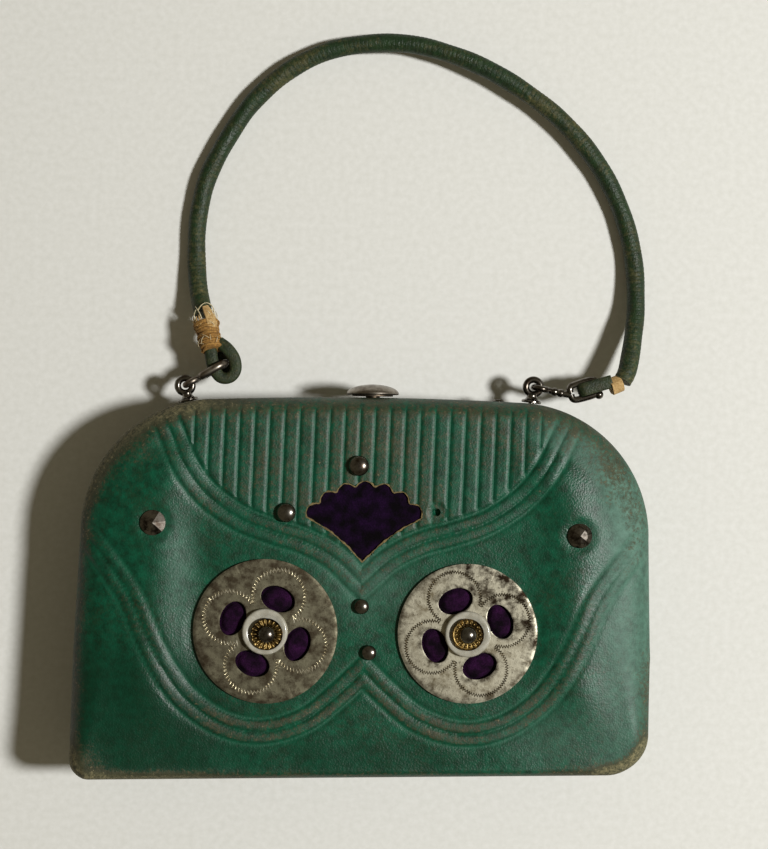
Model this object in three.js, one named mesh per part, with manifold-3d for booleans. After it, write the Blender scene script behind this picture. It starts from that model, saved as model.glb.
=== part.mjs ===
import * as THREE from "three";
import { mergeVertices } from "three/addons/utils/BufferGeometryUtils.js";
import Module from "manifold-3d";

const wasm = await Module();
wasm.setup();

// Driving dimensions in millimetres: +Z out of the decorated front, +Y towards the handle.
const WIDTH = 144; // across the foot of the covers
const SHOULDER_WIDTH = 141.2; // across the top of the straight sides
const HEIGHT = 94.5; // foot to the middle of the top edge
const CROWN = 0.8; // rise of the top edge at its middle
const SHOULDER_RADIUS = 33.3;
// The foot slopes a little, so that the right end stands higher; its two corners are not rounded alike.
const FOOT = { tilt: 1.16, lift: 0.32, fade: 37, left: { radius: 5, x: 67 }, right: { radius: 10.5, x: 60.6 } };
const FOOT_SLOPE = Math.tan((FOOT.tilt * Math.PI) / 180);
const DEPTH = 28; // back to front face, without the ornaments
const COVER_DEPTH = 9.5; // each leather tray, face to rim
const WALL = 2.4; // leather on its board
const ROLL_HEIGHT = 7; // height over which the face rolls into the side wall
const ROLL = { side: 10, top: 4.5, foot: 2.2, corner: 4.4 }; // width of that roll
const FIT = 0.3; // gap between neighbouring pieces

const FRAME_INSET = 0.2; // the steel frame lies this far inside the outline
const FRAME_WIDTH = 3.3;
const FRAME_LIP = 0.8; // thickness of the lip inside the leather
const LIP_DEPTH = 3.2;
const PARTING = 0.6; // gap between the two frames
const MIDDLE = DEPTH / 2;

const RIB_HEIGHT = 0.7; // embossed ribs over the face
const RIB_SINK = 0.9; // buried part of a rib
const FLUTE_PITCH = 3.7;
const FLUTES_EACH_SIDE = 12;
const SWAG_SPACING = 3; // pressed lines of a swag
const DESIGN_LEAN = Math.tan((1.8 * Math.PI) / 180); // lean of the upper design
const DESIGN_SHIFT = 0.8;

const POCKET_DEPTH = 1.4; // cut-outs that show the velvet
const VELVET = 0.7; // thickness of the velvet pads
const FAN = { tipY: 6.5, centreY: 8.7, radius: 17.5, low: 31.7, lobes: 7, lobe: 1.0 };
const DISC = { y: -10.4, leftX: -24, rightX: 25.8, radius: 17.75, thick: 0.8, pocket: 12.6 };
const PETAL = { at: 8.5, along: 4.35, across: 3.1, leftTurn: 69, rightTurn: 111 };
const PEARL = { outer: 5.75, inner: 2.9, thick: 1.6 };
const CUP = { radius: 4.15, thick: 0.9, beads: 16, beadAt: 3.3, bead: 0.62 };
const SHANK = 0.7; // radius of the stud shanks
const SHANK_HOLE = 1.0;

const HINGE = { x: 51.5, y: -HEIGHT / 2 + FOOT.lift + 0.3, barrel: 1.1, bore: 0.8, pin: 0.5, knuckle: 3.4 };
const EYE = { leftX: -44.9, rightX: 41.6, flange: 2.5, at: 4.4, ring: 1.875, wire: 0.725 };
const FITTING_Z = 11.75; // height of the eyes and hooks, middle of the back frame
const BUTTON = { x: 1.6, z: 16.25, radius: 6.55, base: 1.2, rise: 3.35, boss: 5.3, stem: 0.9, travel: 0.7 };
const HOOK_WIRE = 0.65;
const HANDLE_RADIUS = 2.37;

const parts = new THREE.Group();
parts.name = "purse";

// Solids and meshes.
function solid(geometry) {
  const bare = new THREE.BufferGeometry();
  const source = geometry.index ? geometry.toNonIndexed() : geometry;
  bare.setAttribute("position", source.getAttribute("position").clone());
  const merged = mergeVertices(bare, 1e-4);
  const made = new wasm.Manifold(
    new wasm.Mesh({
      numProp: 3,
      vertProperties: new Float32Array(merged.getAttribute("position").array),
      triVerts: new Uint32Array(merged.index.array),
    }),
  );
  return made;
}

function meshOf(name, shape, material) {
  const data = shape.getMesh();
  const geometry = new THREE.BufferGeometry();
  geometry.setAttribute("position", new THREE.BufferAttribute(new Float32Array(data.vertProperties), 3));
  geometry.setIndex(new THREE.BufferAttribute(new Uint32Array(data.triVerts), 1));
  geometry.computeVertexNormals();
  const mesh = new THREE.Mesh(geometry, material);
  mesh.name = name;
  parts.add(mesh);
  return mesh;
}

const join = (...shapes) => shapes.reduce((whole, next) => whole.add(next));

function look(color, roughness, metalness) {
  return new THREE.MeshStandardMaterial({ color, roughness, metalness });
}
const leather = () => look(0x1f4a38, 0.5, 0);
const velvet = () => look(0x4a2346, 0.95, 0);
const steel = () => look(0x77736c, 0.35, 1);
const silver = () => look(0x9b9890, 0.4, 1);
const gilt = () => look(0xa9853d, 0.4, 1);
const pearl = () => look(0xe4ddc9, 0.3, 0);
const thread = () => look(0x9a7a4d, 0.9, 0);
const core = () => look(0xb98a55, 0.85, 0);

// A closed body lofted through rings of points: capped at both ends, or closed on itself.
function loft(rings, closed = false) {
  const count = rings[0].length;
  const points = rings.flat();
  const faces = [];
  const last = closed ? rings.length : rings.length - 1;
  for (let i = 0; i < last; i++) {
    const here = i * count;
    const next = ((i + 1) % rings.length) * count;
    for (let j = 0; j < count; j++) {
      const k = (j + 1) % count;
      faces.push([here + j, next + j, next + k], [here + j, next + k, here + k]);
    }
  }
  if (!closed) {
    const end = (rings.length - 1) * count;
    for (const [a, b, c] of capFaces(rings[0])) faces.push([a, b, c]);
    for (const [a, b, c] of capFaces(rings[rings.length - 1])) faces.push([end + c, end + b, end + a]);
  }
  let volume = 0;
  const cross = new THREE.Vector3();
  for (const [a, b, c] of faces) {
    volume += points[a].dot(cross.crossVectors(points[b], points[c]));
  }
  const order = volume < 0 ? ([a, b, c]) => [c, b, a] : (face) => face;
  const geometry = new THREE.BufferGeometry();
  geometry.setAttribute("position", new THREE.Float32BufferAttribute(points.flatMap((p) => p.toArray()), 3));
  geometry.setIndex(faces.flatMap(order));
  return solid(geometry);
}

// Triangles that close a ring: cut by ears where it is flat in XY, else a fan.
function capFaces(points) {
  const flat = THREE.ShapeUtils.triangulateShape(points.map((p) => new THREE.Vector2(p.x, p.y)), []);
  if (flat.length === points.length - 2) return flat;
  return points.slice(2).map((p, i) => [0, i + 1, i + 2]);
}

function cylinder(radius, from, to, sides = 20, tip = radius) {
  const length = from.distanceTo(to);
  const geometry = new THREE.CylinderGeometry(tip, radius, length, sides);
  geometry.applyQuaternion(
    new THREE.Quaternion().setFromUnitVectors(
      new THREE.Vector3(0, 1, 0),
      to.clone().sub(from).normalize(),
    ),
  );
  const middle = from.clone().add(to).multiplyScalar(0.5);
  geometry.translate(middle.x, middle.y, middle.z);
  return solid(geometry);
}

function upright(radius, x, y, low, high, sides = 20, tip = radius) {
  return cylinder(radius, new THREE.Vector3(x, y, low), new THREE.Vector3(x, y, high), sides, tip);
}

function box(x0, x1, y0, y1, z0, z1) {
  const geometry = new THREE.BoxGeometry(x1 - x0, y1 - y0, z1 - z0);
  geometry.translate((x0 + x1) / 2, (y0 + y1) / 2, (z0 + z1) / 2);
  return solid(geometry);
}

function turned(profile, sides) {
  const geometry = new THREE.LatheGeometry(profile.map(([r, z]) => new THREE.Vector2(r, z)), sides);
  geometry.rotateX(Math.PI / 2);
  return solid(geometry);
}

function ring(radius, wire, sides = 6, around = 12) {
  return solid(new THREE.TorusGeometry(radius, wire, sides, around));
}

function tube(points, radius, steps, sides = 6) {
  const path = new THREE.CatmullRomCurve3(points.map((p) => new THREE.Vector3(...p)), false, "centripetal");
  const section = new THREE.Shape();
  for (let i = 0; i < sides; i++) {
    const a = (i * 2 * Math.PI) / sides;
    section[i ? "lineTo" : "moveTo"](radius * Math.cos(a), radius * Math.sin(a));
  }
  return solid(new THREE.ExtrudeGeometry(section, { steps, extrudePath: path, bevelEnabled: false }));
}

function plate(shape, low, high, curveSegments = 12) {
  const geometry = new THREE.ExtrudeGeometry(shape, { depth: high - low, bevelEnabled: false, curveSegments });
  geometry.translate(0, 0, low);
  return solid(geometry);
}

// The outline of both covers, anticlockwise, with its outward directions.
function makeOutline() {
  const half = HEIGHT / 2;
  const shoulderX = SHOULDER_WIDTH / 2 - SHOULDER_RADIUS;
  const shoulderY = half - CROWN - SHOULDER_RADIUS;
  const sideOf = (sign, foot) => {
    const points = [];
    const put = (x, y, nx, ny, most = ROLL.side) => {
      const upDown = ny > 0 ? ROLL.top : ROLL.foot;
      const share = THREE.MathUtils.clamp((FOOT.fade - half - y) / FOOT.fade, 0, 1);
      const rise = (FOOT.lift + FOOT_SLOPE * sign * x) * share;
      const roll = Math.min(most, ROLL.side * nx * nx + upDown * ny * ny);
      points.push({ x: sign * x, y: y + rise, nx: sign * nx, ny, roll });
    };
    const arc = (cx, cy, radius, from, to, steps, most) => {
      for (let i = 0; i <= steps; i++) {
        const a = from + ((to - from) * i) / steps;
        put(cx + radius * Math.cos(a), cy + radius * Math.sin(a), Math.cos(a), Math.sin(a), most);
      }
    };
    arc(foot.x, -half + foot.radius, foot.radius, -Math.PI / 2, 0, foot.radius > 8 ? 4 : 3, ROLL.corner);
    put((WIDTH + SHOULDER_WIDTH) / 4, shoulderY / 2 - half / 2, 1, 0);
    arc(shoulderX, shoulderY, SHOULDER_RADIUS, 0, Math.PI / 2, 8);
    for (const part of [0.66, 0.33]) {
      put(shoulderX * part, half - CROWN * part * part, 0, 1);
    }
    return points;
  };
  const top = { x: 0, y: half, nx: 0, ny: 1, roll: ROLL.top };
  return [...sideOf(1, FOOT.right), top, ...sideOf(-1, FOOT.left).reverse()];
}
const outline = makeOutline();

function outlineRing(inset, z) {
  return outline.map((p) => {
    const d = typeof inset === "number" ? inset : inset(p);
    return new THREE.Vector3(p.x - p.nx * d, p.y - p.ny * d, z);
  });
}

// One leather tray with its face at DEPTH and its rim COVER_DEPTH below.
function tray(steps) {
  const rings = [];
  const rim = DEPTH - COVER_DEPTH;
  const bend = DEPTH - ROLL_HEIGHT;
  for (let i = steps; i >= 0; i--) {
    const a = (i * Math.PI) / 2 / steps;
    rings.push(outlineRing((p) => p.roll * (1 - Math.cos(a)), bend + ROLL_HEIGHT * Math.sin(a)));
  }
  rings.push(outlineRing(0, rim), outlineRing(WALL, rim));
  for (let i = 0; i <= steps; i++) {
    const a = (i * Math.PI) / 2 / steps;
    const inner = (p) => WALL + Math.max(p.roll - WALL, 0.4) * (1 - Math.cos(a));
    rings.push(outlineRing(inner, bend + (ROLL_HEIGHT - WALL) * Math.sin(a)));
  }
  return loft(rings);
}

// Height of the front face over a point, from its distance to the nearest edge.
function faceHeight(x, y) {
  let best = { gap: Infinity };
  outline.forEach((p, i) => {
    const q = outline[(i + 1) % outline.length];
    const dx = q.x - p.x;
    const dy = q.y - p.y;
    const t = THREE.MathUtils.clamp(((x - p.x) * dx + (y - p.y) * dy) / (dx * dx + dy * dy || 1), 0, 1);
    const gap = Math.hypot(x - p.x - t * dx, y - p.y - t * dy);
    if (gap < best.gap) {
      best = { gap, roll: p.roll + t * (q.roll - p.roll) };
    }
  });
  const part = THREE.MathUtils.clamp(best.gap / best.roll, 0, 1);
  return DEPTH - ROLL_HEIGHT * (1 - Math.sqrt(1 - (1 - part) ** 2));
}

// A rounded rib along stations of the face; each station gives its place, side direction and lift.
const ribSection = [
  { across: -1, up: 0, sunk: 1 },
  { across: -0.45, up: 1, sunk: 0 },
  { across: 0.45, up: 1, sunk: 0 },
  { across: 1, up: 0, sunk: 1 },
];
function rib(stations, halfWidth) {
  const rings = stations.map((s) =>
    ribSection.map((row) => {
      const x = s.x + s.sx * row.across * halfWidth;
      const y = s.y + s.sy * row.across * halfWidth;
      const lift = row.up * RIB_HEIGHT * s.lift - row.sunk * RIB_SINK - 0.3 * (1 - s.lift);
      return new THREE.Vector3(x, y, faceHeight(x, y) + lift);
    }),
  );
  return loft(rings);
}

// Middle pressed line of each swag on the right half; the left half mirrors it.
const upperSwag = [
  { x: 50.4, y: 42.2 },
  { x: 48.4, y: 38.4 },
  { x: 45.4, y: 31.7 },
  { x: 41.7, y: 26 },
  { x: 37.2, y: 21.4 },
  { x: 30, y: 16.7 },
  { x: 21.6, y: 13.7 },
  { x: 14.5, y: 11.6 },
  { x: 7, y: 7.7 },
  { x: 0, y: 1.3 },
];
const lowerSwag = [
  { x: 67.6, y: 11.2 },
  { x: 62.8, y: 5.5 },
  { x: 57.4, y: -2.2 },
  { x: 53.5, y: -11 },
  { x: 49, y: -19.8 },
  { x: 43, y: -27.7 },
  { x: 34, y: -33.6 },
  { x: 24, y: -35.2 },
  { x: 13.8, y: -32 },
  { x: 6, y: -25.8 },
  { x: 0, y: -20 },
];

function swagLine(rows, offset, count) {
  const curve = new THREE.SplineCurve(rows.map((r) => new THREE.Vector2(r.x, r.y)));
  const places = [];
  for (let i = 0; i <= count; i++) {
    const t = i / count;
    const p = curve.getPoint(t);
    const along = curve.getTangent(t);
    places.push({ x: p.x - along.y * offset, y: p.y + along.x * offset, sx: -along.y, sy: along.x, along, lift: 1 });
  }
  places[0].lift = 0;
  const end = places[places.length - 1];
  places.push({ ...end, x: end.x + end.along.x * 3, y: end.y + end.along.y * 3 });
  return places;
}

function swag(rows, count) {
  const sides = [-1, 1].map((side) => rib(swagLine(rows, (side * SWAG_SPACING) / 2, count), SWAG_SPACING * 0.62));
  const right = join(...sides).trimByPlane([1, 0, 0], 0);
  return right.add(right.mirror([1, 0, 0]));
}

// Flutes between the swag and the top edge, cut to the panel over the upper swag.
function flutes() {
  const inner = swagLine(upperSwag, -SWAG_SPACING - FIT, 9).filter((p) => p.x > 0.4);
  const panel = new THREE.Shape();
  panel.moveTo(0, inner[inner.length - 1].y - 1);
  for (const p of [...inner].reverse()) panel.lineTo(p.x, p.y);
  panel.lineTo(inner[0].x + 1, HEIGHT);
  panel.lineTo(-inner[0].x - 1, HEIGHT);
  for (const p of inner) panel.lineTo(-p.x, p.y);
  const rows = [];
  for (let k = -FLUTES_EACH_SIDE; k <= FLUTES_EACH_SIDE; k++) {
    const x = k * FLUTE_PITCH;
    const gapTo = (p) => Math.abs(p.x - Math.abs(x));
    const low = inner.reduce((near, p) => (gapTo(p) < gapTo(near) ? p : near)).y - FLUTE_PITCH;
    const shoulder = Math.max(Math.abs(x) - (SHOULDER_WIDTH / 2 - SHOULDER_RADIUS), 0);
    const top = HEIGHT / 2 - CROWN / 2 - SHOULDER_RADIUS + Math.sqrt(SHOULDER_RADIUS ** 2 - shoulder ** 2);
    const stops = [Math.min(low, top - ROLL.top - 1), top - ROLL.top, top - 1.4];
    const lifts = [1, 1, 0.2];
    rows.push(rib(stops.map((y, i) => ({ x, y, sx: 1, sy: 0, lift: lifts[i] })), FLUTE_PITCH * 0.62));
  }
  return join(...rows).intersect(plate(panel, 0, DEPTH * 2));
}

function lean(shape) {
  const at = (y) => DESIGN_SHIFT + (y - HEIGHT / 2) * DESIGN_LEAN;
  return shape.transform([1, 0, 0, 0, DESIGN_LEAN, 1, 0, 0, 0, 0, 1, 0, at(0), 0, 0, 1]);
}

// The scalloped fan: two straight edges from the tip and lobes round the top.
function fanShape(inset) {
  const shape = new THREE.Shape();
  const steps = FAN.lobes * 4;
  const low = THREE.MathUtils.degToRad(FAN.low);
  const skip = inset > 0 ? 1 : 0;
  shape.moveTo(0, FAN.tipY + inset * 1.3);
  for (let i = skip; i <= steps - skip; i++) {
    const t = i / steps;
    const a = low + t * (Math.PI - 2 * low);
    const r = FAN.radius - inset * 1.3 - FAN.lobe / 2 + FAN.lobe * Math.abs(Math.sin(FAN.lobes * Math.PI * t));
    shape.lineTo(r * Math.cos(a), FAN.centreY + r * Math.sin(a));
  }
  return shape;
}

// Studs: place, head radius and the height of the relief under the head.
const studs = [
  { name: "stud_top", x: -1.5, y: 30.4, radius: 2.5, over: RIB_HEIGHT },
  { name: "stud_fan_left", x: -19.2, y: 18.7, radius: 2.6, over: RIB_HEIGHT },
  { name: "stud_side_left", x: -51.8, y: 15.9, radius: 3.1, over: 0 },
  { name: "stud_side_right", x: 52.8, y: 13.9, radius: 3.0, over: 0 },
  { name: "stud_mid_upper", x: -0.5, y: -4.1, radius: 2.1, over: 0.5 },
  { name: "stud_mid_lower", x: 1.5, y: -15.4, radius: 1.95, over: 0.5 },
];
const missingStud = { x: 17.7, y: 19.2 };
const discs = [
  { side: "left", x: DISC.leftX, turn: PETAL.leftTurn, cupX: 0.5, cupY: -0.4 },
  { side: "right", x: DISC.rightX, turn: PETAL.rightTurn, cupX: 0, cupY: 0 },
];

function domed(radius, rise, foot, shankEnd, x, y) {
  const rows = [[0, shankEnd], [SHANK, shankEnd], [SHANK, foot], [radius, foot]];
  for (const part of [0.45, 0.85]) {
    rows.push([radius * Math.sqrt(1 - part * part), foot + rise * part]);
  }
  rows.push([0, foot + rise]);
  return turned(rows, 9).translate([x, y, 0]);
}

// Front cover with its embossing, cut-outs and stud holes.
const hole = (x, y) => upright(SHANK_HOLE, x, y, DEPTH - COVER_DEPTH, DEPTH + 4, 8);
const floorOf = DEPTH - POCKET_DEPTH;
let frontCover = join(tray(3), lean(join(flutes(), swag(upperSwag, 9))), swag(lowerSwag, 10));
frontCover = frontCover.subtract(lean(plate(fanShape(0), floorOf, DEPTH + 3)));
for (const d of discs) {
  frontCover = frontCover.subtract(upright(DISC.pocket, d.x, DISC.y, floorOf, DEPTH + 3, 18));
  frontCover = frontCover.subtract(hole(d.x + d.cupX, DISC.y + d.cupY));
}
for (const s of [...studs, missingStud]) frontCover = frontCover.subtract(hole(s.x, s.y));
meshOf("front_cover", frontCover, leather());

// Back cover, plain.
const backCover = tray(3).mirror([0, 0, 1]).translate([0, 0, DEPTH]);
meshOf("back_cover", backCover, leather());

// The two steel frames with their hinge knuckles.
const rimZ = COVER_DEPTH + FIT;
const seamZ = MIDDLE - PARTING / 2;
function frameBar() {
  const inner = WALL + FIT;
  const deep = FRAME_INSET + FRAME_WIDTH;
  return loft(
    [
      outlineRing(FRAME_INSET, rimZ),
      outlineRing(FRAME_INSET, seamZ),
      outlineRing(deep, seamZ),
      outlineRing(deep, rimZ - LIP_DEPTH),
      outlineRing(inner, rimZ - LIP_DEPTH),
      outlineRing(inner, rimZ),
    ],
    true,
  );
}
const atHinge = (shape) => shape.rotate([0, 0, FOOT.tilt]).translate([0, HINGE.y, MIDDLE]);
const alongX = (radius, x0, x1, sides = 8) =>
  atHinge(cylinder(radius, new THREE.Vector3(x0, 0, 0), new THREE.Vector3(x1, 0, 0), sides));
function hinged(bar, places, up) {
  let made = bar;
  const step = HINGE.knuckle + FIT;
  for (const side of [-1, 1]) {
    const reach = step * 1.5 + FIT;
    made = made.subtract(alongX(HINGE.barrel + FIT, side * HINGE.x - reach, side * HINGE.x + reach));
    for (const place of places) {
      const x0 = side * HINGE.x + place * step - HINGE.knuckle / 2;
      const x1 = x0 + HINGE.knuckle;
      const near = up * (HINGE.bore + 0.1);
      const far = up * 2.4;
      const leaf = atHinge(box(x0 + 0.1, x1 - 0.1, 0.05, 0.9, Math.min(near, far), Math.max(near, far)));
      made = join(made, alongX(HINGE.barrel, x0, x1), leaf);
    }
    made = made.subtract(alongX(HINGE.bore, side * HINGE.x - reach, side * HINGE.x + reach));
  }
  return made;
}

function topPoint(x) {
  const flat = SHOULDER_WIDTH / 2 - SHOULDER_RADIUS;
  const over = Math.abs(x) - flat;
  if (over <= 0) return { x, y: HEIGHT / 2 - CROWN * (x / flat) ** 2, turn: 0 };
  const a = Math.asin(over / SHOULDER_RADIUS);
  return {
    x,
    y: HEIGHT / 2 - CROWN - SHOULDER_RADIUS * (1 - Math.cos(a)),
    turn: -Math.sign(x) * THREE.MathUtils.radToDeg(a),
  };
}
const eyes = [
  { side: "left", ...topPoint(EYE.leftX) },
  { side: "right", ...topPoint(EYE.rightX) },
];
const stand = (shape, place, z) => shape.rotate([0, 0, place.turn]).translate([place.x, place.y, z]);
const outward = (radius, from, to, sides = 12, tip = radius) =>
  cylinder(radius, new THREE.Vector3(0, from, 0), new THREE.Vector3(0, to, 0), sides, tip);

const rivet = { ...topPoint(33.4) };
let backFrame = hinged(frameBar(), [-1, 1], -1);
for (const e of eyes) {
  backFrame = backFrame.subtract(stand(outward(SHANK + FIT + 0.1, -5, 2, 8), e, FITTING_Z));
}
backFrame = backFrame.subtract(stand(outward(SHANK + FIT, -5, 2, 8), rivet, FITTING_Z));
meshOf("back_frame", backFrame, steel());

const buttonTop = HEIGHT / 2;
const buttonAt = (shape) => shape.translate([BUTTON.x, buttonTop, BUTTON.z]);
let frontFrame = frameBar().mirror([0, 0, 1]).translate([0, 0, DEPTH]);
frontFrame = hinged(frontFrame, [0], 1);
frontFrame = join(
  frontFrame,
  buttonAt(outward(1.75, -1.5, 0.6)),
  buttonAt(outward(BUTTON.boss - BUTTON.travel - FIT, 0.35, BUTTON.base + 0.2, 14)),
);
frontFrame = frontFrame.subtract(buttonAt(outward(BUTTON.stem + FIT, -6, 3)));
meshOf("front_frame", frontFrame, steel());

for (const [side, sign] of [["left", -1], ["right", 1]]) {
  const half = (HINGE.knuckle + FIT) * 1.5;
  meshOf(`hinge_pin_${side}`, alongX(HINGE.pin, sign * HINGE.x - half, sign * HINGE.x + half, 10), steel());
}

// Push button of the clasp: a hollow dome over the boss, with a stem through the frame.
const domeRows = [[0, -FRAME_WIDTH - 0.2], [BUTTON.stem, -FRAME_WIDTH - 0.2], [BUTTON.stem, BUTTON.base + 1.25]];
domeRows.push([BUTTON.boss - 0.6, BUTTON.base + 1.25], [BUTTON.boss + FIT + 0.1, BUTTON.base]);
domeRows.push([BUTTON.radius, BUTTON.base]);
for (const part of [0.3, 0.6, 0.85]) {
  domeRows.push([BUTTON.radius * Math.sqrt(1 - part * part), BUTTON.base + (BUTTON.rise - BUTTON.base) * part]);
}
domeRows.push([0, BUTTON.rise]);
meshOf("clasp_button", buttonAt(turned(domeRows, 16).rotate([-90, 0, 0])), steel());

const catchFace = buttonTop - FRAME_INSET - FRAME_WIDTH;
const catchShape = join(
  box(BUTTON.x - 4, BUTTON.x + 4, catchFace - 2.8, catchFace - 1.6, 9, 19),
  box(BUTTON.x - 4, BUTTON.x + 4, catchFace - 2.8, catchFace - FIT, 9, 10.4),
);
meshOf("catch", catchShape, steel());

// Velvet, discs and rosettes.
const velvetLow = floorOf + FIT;
meshOf("velvet_fan", lean(plate(fanShape(FIT), velvetLow, velvetLow + VELVET)), velvet());

function petalHoles(shape, turn) {
  for (let k = 0; k < 4; k++) {
    const a = THREE.MathUtils.degToRad(turn + 90 * k);
    const petal = new THREE.Path();
    petal.absellipse(
      PETAL.at * Math.cos(a),
      PETAL.at * Math.sin(a),
      PETAL.across,
      PETAL.along,
      0,
      2 * Math.PI,
      true,
      a,
    );
    shape.holes.push(petal);
  }
}

for (const d of discs) {
  const hub = (r) => upright(r, d.cupX, d.cupY, 0, DEPTH * 2, 8);
  const put = (shape) => shape.translate([d.x, DISC.y, 0]);
  const pad = upright(DISC.pocket - FIT, 0, 0, velvetLow, velvetLow + VELVET, 18).subtract(hub(SHANK_HOLE));
  meshOf(`velvet_${d.side}`, put(pad), velvet());

  const round = new THREE.Shape();
  round.absarc(0, 0, DISC.radius, 0, 2 * Math.PI);
  petalHoles(round, d.turn);
  const discLow = DEPTH + FIT;
  const discHigh = discLow + DISC.thick;
  meshOf(`disc_${d.side}`, put(plate(round, discLow, discHigh, 9).subtract(hub(SHANK_HOLE))), silver());

  const pearlLow = discHigh + FIT;
  const pearlHigh = pearlLow + PEARL.thick;
  const pearlRows = [
    [PEARL.inner, pearlLow],
    [PEARL.outer - 0.3, pearlLow],
    [PEARL.outer, pearlLow + 0.5],
    [PEARL.outer - 0.3, pearlHigh - 0.3],
    [PEARL.inner, pearlHigh],
    [PEARL.inner, pearlLow],
  ];
  meshOf(`pearl_ring_${d.side}`, put(turned(pearlRows, 16)), pearl());

  const cupLow = pearlHigh + FIT;
  const cupHigh = cupLow + CUP.thick;
  const cupRows = [
    [SHANK_HOLE, cupLow],
    [CUP.radius - 0.8, cupLow],
    [CUP.radius, cupHigh - 0.2],
    [CUP.radius - 0.3, cupHigh],
    [CUP.radius - 1.6, cupHigh - 0.35],
    [SHANK_HOLE, cupHigh - 0.35],
    [SHANK_HOLE, cupLow],
  ];
  let cup = turned(cupRows, 12);
  for (let k = 0; k < CUP.beads; k++) {
    const a = (k * 2 * Math.PI) / CUP.beads;
    const bead = solid(new THREE.OctahedronGeometry(CUP.bead)).rotate([0, 0, THREE.MathUtils.radToDeg(a)]);
    cup = cup.add(bead.translate([CUP.beadAt * Math.cos(a), CUP.beadAt * Math.sin(a), cupHigh - 0.15]));
  }
  meshOf(`gilt_cup_${d.side}`, put(cup.translate([d.cupX, d.cupY, 0])), gilt());

  const stud = domed(2.45, 1.6, cupHigh + 0.15, DEPTH - WALL - 1, d.cupX, d.cupY);
  meshOf(`centre_stud_${d.side}`, put(stud), steel());
}

for (const s of studs) {
  const foot = DEPTH + s.over + FIT;
  meshOf(s.name, domed(s.radius, s.radius * 0.55, foot, DEPTH - WALL - 1, s.x, s.y), steel());
}

// Eyes on the back frame, with a small rivet beside the right one.
for (const e of eyes) {
  const eye = join(
    outward(SHANK, -3.4, 0.4, 12),
    outward(EYE.flange, FIT, 1),
    outward(1.7, 0.9, 2.7, 12, 1.1),
    ring(EYE.ring, EYE.wire).translate([0, EYE.at, 0]),
  );
  meshOf(`eye_${e.side}`, stand(eye, e, FITTING_Z), steel());
}
meshOf("frame_rivet", stand(join(outward(SHANK, -3, 0.2, 10), outward(1.45, 0.15, 0.75, 14)), rivet, FITTING_Z), steel());

// Hooks: a ring through the eye, a short shank with a collar and an oval bow with a ball tip.
function hook(reach, bow, turn, bend) {
  const ringRadius = 1.7;
  const half = 2.3;
  const eyeRing = ring(ringRadius, HOOK_WIRE, 6, 12).rotate([90, 0, 0]);
  const shank = tube([[ringRadius, 0, 0], [reach / 2 + 0.8, 0, 0], [reach + HOOK_WIRE, 0, 0]], HOOK_WIRE, 1);
  const oval = [
    [HOOK_WIRE, 0.3, 0],
    [1.0, half * 0.75, 0],
    [2.4, half, 0],
    [bow - 2, half, 0],
    [bow - 0.6, half * 0.6, 0],
    [bow, 0, 0],
    [bow - 0.6, -half * 0.6, 0],
    [bow - 2, -half, 0],
    [2.4, -half, 0],
    [1.0, -half * 0.75, 0],
    [HOOK_WIRE, -0.3, 0],
  ];
  const ball = solid(new THREE.SphereGeometry(1.15, 6, 5)).translate([bow - 1, -half - 0.3, 0]);
  const loop = join(tube(oval, HOOK_WIRE, 12), ball).rotate([turn, 0, 0]).rotate([0, 0, bend]);
  return join(eyeRing, shank, loop.translate([reach, 0, 0]));
}
const collars = (at) => join(...at.map((x) => solid(new THREE.SphereGeometry(1, 6, 4)).translate([x, 0, 0])));
const eyeCentre = (e) => {
  const a = THREE.MathUtils.degToRad(e.turn);
  return { x: e.x - EYE.at * Math.sin(a), y: e.y + EYE.at * Math.cos(a) };
};
function hang(shape, e, degrees) {
  const c = eyeCentre(e);
  const a = THREE.MathUtils.degToRad(degrees);
  const place = [c.x + EYE.ring * Math.cos(a), c.y + EYE.ring * Math.sin(a), FITTING_Z];
  return shape.rotate([0, 0, degrees]).translate(place);
}
meshOf("hook_left", hang(hook(2.3, 7.4, 90, 0), eyes[0], 30), steel());
meshOf("hook_right", hang(join(hook(7, 8.6, 0, 29), collars([3.6, 5.2])), eyes[1], -12), steel());

// Handle laid on the table over the purse, and the ends that hold it to the hooks.
const handleRoute = [
  [-41.9, 68.3, 7.4],
  [-43.3, 74, 4.6],
  [-44.1, 81, 2.8],
  [-44.2, 89, 2.5],
  [-43.4, 96.4, 2.5],
  [-41.2, 104.6, 2.5],
  [-36.3, 114.1, 2.6],
  [-30, 123.2, 2.8],
  [-21.3, 131, 3.2],
  [-11.5, 136, 3.8],
  [-1.6, 138, 4.4],
  [9.5, 138.1, 5],
  [19.9, 135.7, 5.4],
  [30, 131.7, 5.4],
  [39.7, 126.1, 5],
  [48.5, 119.5, 4.4],
  [56.4, 111, 3.7],
  [62.4, 101.6, 3.1],
  [66.5, 91, 2.7],
  [68.4, 81, 3],
  [68.6, 71, 4.8],
  [67.7, 63.5, 7.4],
  [66.6, 57.4, 9.6],
  [65.8, 54.4, 10.7],
  [64.7, 52.3, 11.2],
];
meshOf("handle", tube(handleRoute, HANDLE_RADIUS, 32, 8), leather());

const bindTop = new THREE.Vector3(-41.6, 67.6, 7.9);
const bindFoot = new THREE.Vector3(-39.7, 61.2, 11.2);
meshOf("binding_left", cylinder(3.2, bindTop, bindFoot, 14, 3.2), thread());

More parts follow.
